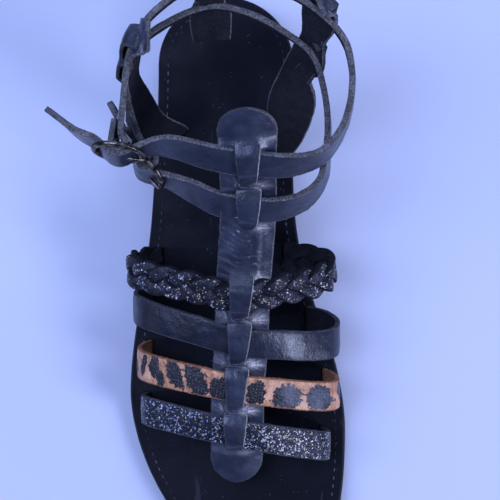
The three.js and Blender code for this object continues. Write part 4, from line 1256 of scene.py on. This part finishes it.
def creased(out, s, a, points):
    """Relief with the creases and the long ridge of the spine's bare part added."""
    start, end = crest_s[3], crest_s[4]
    inside = smooth((s - start - 5) / 3) * smooth((end - CREASE_MARGIN - s) / 4)
    sway = CREASE_SWAY * wander(points, 0.16, 60.0)
    turned_back = np.sqrt((a - CREASE_TURN_AT) ** 2 + 1.5)
    for share, depth, half, back in CREASES:
        middle = start + CREASE_MARGIN + (end - start - 2 * CREASE_MARGIN) * share
        middle = middle + back * turned_back + sway
        middle = middle + 0.25 * wander(points, 0.5, share * 60)
        fade = np.clip(0.6 + 1.1 * wander(points, 0.2, share * 90 + 5), 0.05, 1.3)
        out = out - inside * depth * fade * np.exp(-(((s - middle) / half) ** 2))
    ridge = np.exp(-(((a - LONG_RIDGE_AT + 0.7 * wander(points, 0.2, 71.0)) / 0.9) ** 2))
    return out + LONG_RIDGE_RISE * ridge * inside


def spine_relief(s, a):
    points = np.stack([s, a], axis=1)
    out = 0.25 * wander(points, 0.07, 3.0) + 0.12 * wander(points, 0.3, 9.0)
    for number, rise in JUNCTION_RISE.items():
        away = s - junction(number)
        out = out + rise * smooth(1 - np.abs(away) / JUNCTION_HALF)
    out = out + puckers(s, a) + outer_swell(s, a)
    out = creased(out, s, a, points)
    round_ends = smooth((crest_s[0] - 5 - s) / 6) + smooth((s - crest_s[5] - 5) / 5)
    return out - END_BOW * a**2 * round_ends


def spine_wear(s, a):
    """How much the spine is rubbed and painted with a highlight, in rays that spread from each place."""
    points = np.stack([s, a], axis=1)
    shake = 1.5 * wander(points, 0.5, 33.0)
    worn_and_highlight = np.zeros_like(s)
    for along, across, reach_along, reach_across, much in RUB_AND_HIGHLIGHT_PLACES:
        away = ((s - along) / reach_along) ** 2 + ((a - across) / reach_across) ** 2
        turn = np.arctan2(s - along, (a - across) * np.sign(across) + 3)
        rays = 0.5 + 0.5 * np.sin(turn * 19 + shake + along)
        worn_and_highlight = np.maximum(worn_and_highlight, much * np.exp(-away) * (0.35 + 0.65 * rays))
    return worn_and_highlight


upper_strip(
    "spine_strip", spine, [LEATHER, CUT, FLESH, SPINE_HIGHLIGHT_CUT], edge=0.5, ragged=0.18, fuzz=0.12,
    relief=spine_relief, seed=21.0, steps=48, wear=spine_wear,
)

# Widths of a bridge between two junctions, from its toe end to its heel end
BAND_WIDTHS = [(-1, 0.72), (-0.8, 0.74), (-0.2, 0.88), (0.45, 1.03), (0.72, 1.08), (0.9, 0.98), (1, 0.8)]
BAND_SUNK = (SPINE_THICKNESS - BRIDGE_THICKNESS) / 2 - 0.6
BAND_IN_JUNCTION = (SPINE_THICKNESS - BRIDGE_THICKNESS) / 2 - 0.02


# How far the outer bridges reach past their straps, and how their ends are narrowed
BAND_TOE_REACH = 5.2
BAND_HEEL_REACH = 4.4
BAND_HEEL_END = 0.78
BAND_TOE_NARROWING = 0.18
BAND_STEP = 0.3

# Folds across a bridge where it comes down: place along, depth and how they bend
BAND_FOLDS = [(-1.7, 0.2, -0.02), (-0.6, 0.3, 0.05), (0.5, 0.26, -0.04), (1.5, 0.22, 0.06)]
BAND_FOLD_HALF = 0.38


def bridge_row(s, numbers, ends):
    """Where a bridge is on the spine, how high over it and how wide, at a place along it."""
    k = min(int(np.searchsorted([bound for bound, low in ends], s, side="right")) - 1, len(numbers) - 1)
    middle = crest_s[numbers[k]]
    crest, width, thickness = crossings[numbers[k]]
    side = 0 if s < middle else 1
    bound, low = ends[k + side]
    reach = abs(bound - middle)
    away = abs(s - middle)
    share = (away / reach) * (1 if side else -1)
    top = thickness + (SPINE_THICKNESS + BRIDGE_THICKNESS) / 2 - SEAM_SINK
    rise = smooth((reach - away) / (reach - width / 4))
    wide = read(BAND_WIDTHS, 1, share)
    if side == 1 and k == len(numbers) - 1:
        wide = read(BAND_WIDTHS, 1, min(share, BAND_HEEL_END))
    if side == 0 and k == 0:
        wide = wide * (1 - BAND_TOE_NARROWING * smooth((-share - 0.5) / 0.5))
    return np.interp(s, spine_s, spine_rows), low + (top - low) * rise, wide * BRIDGE_WIDTH


def spine_bridges(name, numbers, shift, seed):
    """The middle of the spine, which rises over each strap and comes down between them."""
    first, last = numbers[0], numbers[-1]
    ends = [(crest_s[first] - crossings[first][1] / 2 - BAND_TOE_REACH, BAND_SUNK)]
    ends += [(junction(n), BAND_IN_JUNCTION + JUNCTION_RISE[n]) for n in numbers[:-1]]
    ends.append((crest_s[last] + crossings[last][1] / 2 + BAND_HEEL_REACH, BAND_SUNK))
    at = np.arange(ends[0][0], ends[-1][0], BAND_STEP)
    rows = [bridge_row(s_here, numbers, ends) for s_here in at]
    base = spine_route.frames([r[0] for r in rows])
    height = np.array([r[1] for r in rows])
    width = np.array([r[2] for r in rows])
    point = base.point + base.out * height[:, None] + base.across * shift
    along = unit(np.gradient(point, axis=0))
    frames = Frames(point, along, base.across, width, np.full(len(rows), float(BRIDGE_THICKNESS)))
    arc = lengths(point)

    def relief(s, a):
        points = np.stack([s, a], axis=1)
        out = 0.16 * wander(points, 0.12, seed) + 0.1 * wander(points, 0.45, seed + 3)
        at_spine = np.interp(s, arc, at)
        for number in numbers[:-1]:
            away = at_spine - junction(number)
            for off, depth, bend in BAND_FOLDS:
                out = out - depth * np.exp(-(((away - off - bend * a**2) / BAND_FOLD_HALF) ** 2))
        return out

    # Painted highlight, with some rubbing, on the right of each junction where the bridge comes down
    def wear(s, a):
        at_spine = np.interp(s, arc, at)
        worn_and_highlight = np.zeros_like(s)
        for number in numbers[:-1]:
            away = ((at_spine - junction(number)) / 1.5) ** 2
            worn_and_highlight = worn_and_highlight + 0.75 * np.exp(-away - ((a - 4) / 1.9) ** 2)
        return worn_and_highlight

    upper_strip(
        name, frames, [BRIDGE_LEATHER, CUT, FLESH, HIGHLIGHT_CUT], edge=0.38, ragged=0.1, crown=0.3,
        relief=relief, seed=seed, steps=24, wear=wear,
    )


spine_bridges("spine_bridges_forefoot", [0, 1, 2, 3], FOREFOOT_SHIFT, 80)
spine_bridges("spine_bridges_ankle", [4, 5], 0, 90)


# A bridge on a stay: how much it is domed and flared, and its steps
BAND_DOME = 0.7
BAND_FLARE = 0.22
BAND_ROWS = 28


def band(name, base, way, reach, seed):
    """A bridge on a stay: a band that rises out of the stay, over the strap, and goes back in.
    Base is the stay's frame under the strap, and way its direction."""
    top = ANKLE_STRAP_THICKNESS + (STAY_THICKNESS + BRIDGE_THICKNESS) / 2 - SEAM_SINK
    rows = []
    side = np.cross(way, base.out[0])
    for i in range(BAND_ROWS + 1):
        share = -1 + 2 * i / BAND_ROWS
        run = share * reach
        rise = smooth((reach - abs(run)) / (reach - ANKLE_STRAP_WIDTH / 2 + 0.4))
        high = BAND_SUNK + (top + BAND_DOME - BAND_SUNK) * rise - BAND_DOME * share**2 * rise
        point = base.point[0] + way * run + base.out[0] * high
        width = BRIDGE_WIDTH * (0.93 + 0.08 * share + BAND_FLARE * share**4)
        rows.append((point, side, width, BRIDGE_THICKNESS))
    upper_strip(
        name, Route(rows).dense(3), [BRIDGE_LEATHER, CUT, FLESH], edge=0.45, crown=0.45,
        relief=leather_relief(seed, 0.3), seed=seed,
    )


# The ankle straps
for name, strap, seed, noise_seed in (
    ("upper", upper_strap, 31.0, 100), ("lower", lower_strap, 37.0, 130)
):
    upper_strip(
        f"ankle_strap_{name}", strap.route.dense(ANKLE_STEPS), [ANKLE_LEATHER, RAW, FLESH], edge=0.5,
        ragged=0.22, fuzz=0.42, relief=leather_relief(noise_seed, 0.3, 0.06), seed=seed,
    )
    upper_strip(
        f"ankle_strap_fold_{name}", strap.fold().dense(FOLD_STEPS), [ANKLE_LEATHER, RAW, FLESH],
        edge=0.5, ragged=0.2, seed=41.0,
    )


# The stays
STAY_DROP = (ANKLE_STRAP_THICKNESS + STAY_THICKNESS) / 2 - SEAM_SINK


def stay_rows(side):
    """A stay from its slot, or its tail, up behind both ankle straps."""
    low = lower_strap.stays[side]
    high = upper_strap.stays[side]
    upward = unit(high.point[0] - low.point[0])
    sideways = low.along[0]
    inside_low = low.offset(0, 0, -STAY_DROP)
    inside_high = high.offset(0, 0, -STAY_DROP)

    def row(point, width, across=sideways):
        return (point, across, width * STAY_WIDTH, STAY_THICKNESS)

    def beyond(frame, start, table):
        found = []
        for rise, lean, width in table:
            point = start + upward * rise * ANKLE_STRAP_WIDTH - frame.out[0] * lean * ANKLE_STRAP_WIDTH
            found.append(row(point, width))
        return found

    def turned(degrees):
        angle = math.radians(degrees)
        way = math.copysign(1, sideways[1])
        inwards = -math.copysign(1, low.point[0][0])
        return vec(way * inwards * math.sin(angle), way * math.cos(angle), 0)

    rows = [row(ankle_point(r, INSTEP_HEIGHT), r[4], turned(r[3])) for r in STAY_FEET[side]]
    if rows:
        sunk = rows[0][0].copy()
        sunk[2] = footbed_top(along_at(sunk[1])) - SLOT_DEPTH
        rows.insert(0, (sunk, *rows[0][1:]))
    else:
        rows = beyond(low, inside_low, BACK_TAIL)
    rows.append(row(inside_low, 1))
    rows.append(row((inside_low + inside_high) / 2, WAIST_SHARE))
    rows.append(row(inside_high, 1))
    rows += beyond(high, inside_high, STAY_TOP)
    return rows, low, high, upward


STAY_BRIDGE_REACH = ANKLE_STRAP_WIDTH / 2 + 3
stay_routes = {}
stay_pieces = {}
for number, side in enumerate(STAY_FEET):
    rows, low, high, upward = stay_rows(side)
    stay_routes[side] = Route(rows)
    stay_pieces[side] = upper_strip(
        f"stay_{side}", stay_routes[side].dense(STAY_STEPS), [LEATHER, RAW, FLESH], edge=0.45,
        ragged=0.2, fuzz=0.2, relief=leather_relief(160 + number * 5.0, 0.4), seed=50.0 + number,
    )
    for level, at in (("low", low), ("high", high)):
        under_strap = at.point - at.out * STAY_DROP
        base = Frames(under_strap, at.along, at.across, at.width, at.thickness)
        seed = 200 + number * 7 + len(level)
        band(f"stay_bridge_{side}_{level}", base, upward, STAY_BRIDGE_REACH, seed)


# Slots in the footbed: the cross straps' follow the straps' ends, and the stays' are upright
CROSS_SLOT_ROWS = 2.5
BRAID_SLOT_EASE = 0.4


def slot_cutter(frames, drop=2 * FOOTBED_THICKNESS):
    """A box round a strip's end with room to spare, which goes on straight down."""
    below = frames.point[0] - vec(0, 0, drop) - frames.along[0] * 0.01
    points = np.vstack([below, frames.point])
    across = np.vstack([frames.across[:1], frames.across])
    out = np.vstack([frames.out[:1], frames.out])
    half = (np.concatenate([frames.width[:1], frames.width]) / 2 + FIT_GAP)[:, None]
    thick = (np.concatenate([frames.thickness[:1], frames.thickness]) / 2 + FIT_GAP)[:, None]
    corners = [(-1, -1), (1, -1), (1, 1), (-1, 1)]
    rings = np.stack([points + across * half * a + out * thick * o for a, o in corners], axis=1)
    return skin("slot_cutter", rings, [])


def cut_slots(piece, cutters):
    for cutter in cutters:
        modifier = piece.modifiers.new("slot", "BOOLEAN")
        modifier.operation = "DIFFERENCE"
        modifier.solver = "EXACT"
        modifier.object = cutter
    bpy.context.view_layer.update()
    graph = bpy.context.evaluated_depsgraph_get()
    cut = bpy.data.meshes.new_from_object(piece.evaluated_get(graph))
    piece.modifiers.clear()
    cut.shade_smooth()
    cut.set_sharp_from_angle(angle=SHARP_FROM)
    piece.data = cut
    for cutter in cutters:
        bpy.data.objects.remove(cutter, do_unlink=True)


cutters = []
for name, (route, width, thickness) in cross_routes.items():
    for start, end in ((0, CROSS_SLOT_ROWS), (route.last, route.last - CROSS_SLOT_ROWS)):
        frames = route.dense(2, start, end)
        if name == "braid":
            frames.width = frames.width - BRAID_STRAND_WIDTH / 2
            frames.thickness = frames.thickness * 0 + BRAID_STRAND_THICKNESS + BRAID_SLOT_EASE
        cutters.append(slot_cutter(frames))
for side in ("medial", "lateral"):
    foot = stay_routes[side].frames([0, 0])
    foot.point[1] = foot.point[1] + vec(0, 0, SLOT_DEPTH + 2)
    foot.thickness = foot.thickness + STAY_SLOT_EASE
    cutters.append(slot_cutter(foot))
cut_slots(footbed, cutters)
place(footbed, "footbed", "footbed")

# The slit that parts the back stay's tail in two
slit = stay_routes["back"].dense(4, 0, BACK_SLIT_ROWS)
slit.width = np.linspace(BACK_SLIT_WIDTH + 1, BACK_SLIT_WIDTH - 1, len(slit.width))
slit.thickness = slit.thickness * 4
slit.point[0] = slit.point[0] - slit.along[0] * STAY_THICKNESS
cut_slots(stay_pieces["back"], [slot_cutter(slit, 0)])

# Stitches round the footbed
STITCH_INSET = 3.3
STITCH_PITCH = 3.3
STITCH_LENGTH = 1.7
STITCH_RADIUS = 0.24
STITCH_SIDES = 8
STITCH_FLATNESS = 0.8

# Rings along a stitch: place and thickness as shares, and how high it stands
STITCH_RINGS = [
    (-1, 0.25, -0.5), (-0.8, 0.8, -0.15), (-0.3, 1, 0.1),
    (0.3, 1, 0.1), (0.8, 0.8, -0.15), (1, 0.25, -0.5),
]


def edge_loop():
    """The footbed's edge as a closed line of points, seen from above."""
    steps = 400
    share = [0.5 - 0.5 * math.cos(math.pi * i / steps) for i in range(steps + 1)]
    along = [END + (1 - 2 * END) * t for t in share]
    medial = [(edges(a)[1], y_at(a)) for a in along]
    lateral = [(edges(a)[0], y_at(a)) for a in reversed(along)]
    return np.array(medial + lateral[1:-1])


def stitch_line():
    """Where each stitch lies and which way it points, seen from above."""
    loop = edge_loop()
    ahead = np.roll(loop, -1, axis=0) - np.roll(loop, 1, axis=0)
    ahead = ahead / np.linalg.norm(ahead, axis=1)[:, None]
    inward = np.stack([ahead[:, 1], -ahead[:, 0]], axis=1)
    if np.sum(inward * (loop.mean(axis=0) - loop)) < 0:
        inward = -inward
    line = loop + inward * (STITCH_INSET + FOOTBED_INSET)
    closed = np.vstack([line, line[:1]])
    length = lengths(closed)
    count = int(length[-1] / STITCH_PITCH)

    def point(t):
        return np.array([np.interp(t, length, closed[:, k]) for k in (0, 1)])

    places = np.arange(count) * length[-1] / count
    return [(point(t), unit(point(t + 0.5) - point(t - 0.5))) for t in places]


def stitches():
    sides = STITCH_SIDES
    end = (len(STITCH_RINGS) - 1) * sides
    vertices = []
    faces = []
    for (x, y), (dx, dy) in stitch_line():
        slope = (footbed_top(along_at(y + 1)) - footbed_top(along_at(y - 1))) / 2
        way = unit(vec(dx, dy, dy * slope))
        side = unit(np.cross(vec(0, 0, 1), way))
        up = np.cross(way, side)
        base = vec(x, y, footbed_top(along_at(y)))
        start = len(vertices)
        for run, thick, lift in STITCH_RINGS:
            middle = base + way * run * STITCH_LENGTH / 2 + up * lift * STITCH_RADIUS
            for j in range(sides):
                a = 2 * math.pi * j / sides
                point = middle + side * math.cos(a) * STITCH_RADIUS * thick
                point = point + up * math.sin(a) * STITCH_RADIUS * thick * STITCH_FLATNESS
                vertices.append(tuple(point * MM))
        for a in range(start, start + end, sides):
            for j in range(sides):
                k = (j + 1) % sides
                faces.append((a + j, a + k, a + sides + k, a + sides + j))
        faces.append(tuple(start + j for j in range(sides)))
        faces.append(tuple(start + end + j for j in reversed(range(sides))))
    mesh = bpy.data.meshes.new("footbed_stitches")
    mesh.from_pydata(vertices, [], faces)
    return finish_mesh("footbed_stitches", mesh, [THREAD])


piece = stitches()
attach(piece, "root")


# Buckles
RING_STEPS = 96
EYE_STEPS = 48
PRONG_SIDES = 14

# The bar and the prong: place as a share, and how far down or up they are there
BAR = [(-1, 0), (-0.8, 1), (0, 1), (0.8, 1), (1, 0)]
PRONG = [(0.12, 0), (0.32, 0.75), (0.62, 1), (0.92, 1), (1.12, 0.93)]


def tube(name, points, across, out, width, thickness, sides=16, loop=False):
    """A brass wire with an oval section."""
    angles = 2 * np.pi * (np.arange(sides) + 0.5) / sides
    rings = (
        points[:, None, :]
        + across[:, None, :] * (np.cos(angles) * width / 2)[None, :, None]
        + out[:, None, :] * (np.sin(angles) * thickness / 2)[None, :, None]
    )
    return skin(name, rings, [BRASS], loop=loop)


def wire(name, rows, per_row, radius, sides=16):
    frames = Route(rows).dense(per_row)
    return tube(name, frames.point, frames.across, frames.out, 2 * radius, 2 * radius, sides)


def hoop(name, steps, point_at, way_at, side, width, thickness, sides=16):
    """A closed wire, given as functions of the cosine and sine of the way round."""
    turns = [2 * math.pi * i / steps for i in range(steps)]
    pairs = [(math.cos(a), math.sin(a)) for a in turns]
    points = np.array([point_at(*pair) for pair in pairs])
    ways = np.array([way_at(*pair) for pair in pairs])
    sideways = np.repeat(side[None, :], steps, axis=0)
    return tube(name, points, ways, sideways, width, thickness, sides, loop=True)


def joined(name, pieces):
    """One piece from several, in the first one's material."""
    bm = bmesh.new()
    material = pieces[0].data.materials[0]
    for part in pieces:
        bm.from_mesh(part.data)
        bpy.data.objects.remove(part, do_unlink=True)
    mesh = bpy.data.meshes.new(name)
    bm.to_mesh(mesh)
    bm.free()
    return finish_mesh(name, mesh, [material])


def buckle(name, at):
    """An oval frame with its bar, and a prong whose eye loops round that bar."""
    half_width = BUCKLE_WIDTH / 2 - BUCKLE_WIRE_WIDTH / 2
    along, across, out = at.along[0], at.across[0], at.out[0]
    ring = hoop(
        "ring", RING_STEPS, lambda c, s: at.offset(RIM_REACH * c, half_width * s, 0),
        lambda c, s: unit(along * c / RIM_REACH + across * s / half_width),
        out, BUCKLE_WIRE_WIDTH, BUCKLE_WIRE_THICKNESS,
    )
    rows = [(at.offset(0, share * half_width, -drop * BUCKLE_BAR_DROP), along, 1, 1) for share, drop in BAR]
    bar = wire("bar", rows, 10, BUCKLE_BAR_RADIUS)
    place(joined(f"buckle_{name}", [ring, bar]), "buckle", f"buckle_frame_{name}")

    loop_radius = BUCKLE_BAR_RADIUS + FIT_GAP + PRONG_RADIUS
    low = loop_radius - BUCKLE_BAR_DROP
    high = HALF_WIRE + FIT_GAP + PRONG_RADIUS
    rows = [(at.offset(run * RIM_REACH, 0, low + (high - low) * rise), across, 1, 1) for run, rise in PRONG]
    shaft = wire("shaft", rows, 12, PRONG_RADIUS, PRONG_SIDES)
    eye = hoop(
        "eye", EYE_STEPS, lambda c, s: at.offset(loop_radius * c, 0, loop_radius * s - BUCKLE_BAR_DROP),
        lambda c, s: along * c + out * s, across, 2 * PRONG_RADIUS, 2 * PRONG_RADIUS, PRONG_SIDES,
    )
    place(joined(f"prong_{name}", [shaft, eye]), "buckle", f"buckle_prong_{name}")


buckle("upper", upper_strap.buckle)
buckle("lower", lower_strap.buckle)


# Floor and light, in metres
FLOOR_HALF = 3.0
FLOOR_CORNERS = [(-1, -1), (1, -1), (1, 1), (-1, 1)]
FLOOR_COLOR = (0.72, 0.76, 0.9)
LIGHT_TARGET = Vector((0.01, -0.09, 0.02))
SKY = (0.42, 0.55, 1, 1)
SKY_STRENGTH = 0.16

# Lights: name, place, size, power and colour
LIGHTS = [
    ("key", (0.85, -0.6, 0.8), (0.45, 0.5), 10.5, (0.57, 0.64, 1)),
    ("left", (-0.68, 0.0, 1.0), (0.5, 0.8), 7, (0.46, 0.56, 1)),
    ("back", (0.1, 0.9, 0.8), (0.9, 0.5), 5.5, (0.46, 0.56, 1)),
    ("top", (-0.3, 0.1, 1.3), (0.4, 0.5), 4.5, (0.44, 0.55, 1)),
]


def floor():
    mesh = bpy.data.meshes.new("floor")
    mesh.from_pydata([(x * FLOOR_HALF, y * FLOOR_HALF, 0) for x, y in FLOOR_CORNERS], [], [(0, 1, 2, 3)])
    mesh.materials.append(Finish("floor_paper", FLOOR_COLOR, 0.9).material)
    piece = bpy.data.objects.new("floor", mesh)
    bpy.context.scene.collection.objects.link(piece)
    piece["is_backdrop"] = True


def area_light(name, location, size, power, color):
    data = bpy.data.lights.new(name, "AREA")
    data.shape = "RECTANGLE"
    data.size, data.size_y = size
    data.energy = power
    data.color = color
    light = bpy.data.objects.new(name, data)
    light.location = location
    light.rotation_euler = (LIGHT_TARGET - Vector(location)).to_track_quat("-Z", "Y").to_euler()
    bpy.context.scene.collection.objects.link(light)


floor()
for light in LIGHTS:
    area_light(*light)

world = bpy.data.worlds.new("studio")
world.use_nodes = True
background = world.node_tree.nodes["Background"]
background.inputs["Color"].default_value = SKY
background.inputs["Strength"].default_value = SKY_STRENGTH
bpy.context.scene.world = world
bpy.context.scene.view_settings.view_transform = "Standard"

[[list(corner) for corner in box] for box in (cad_box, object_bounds())]
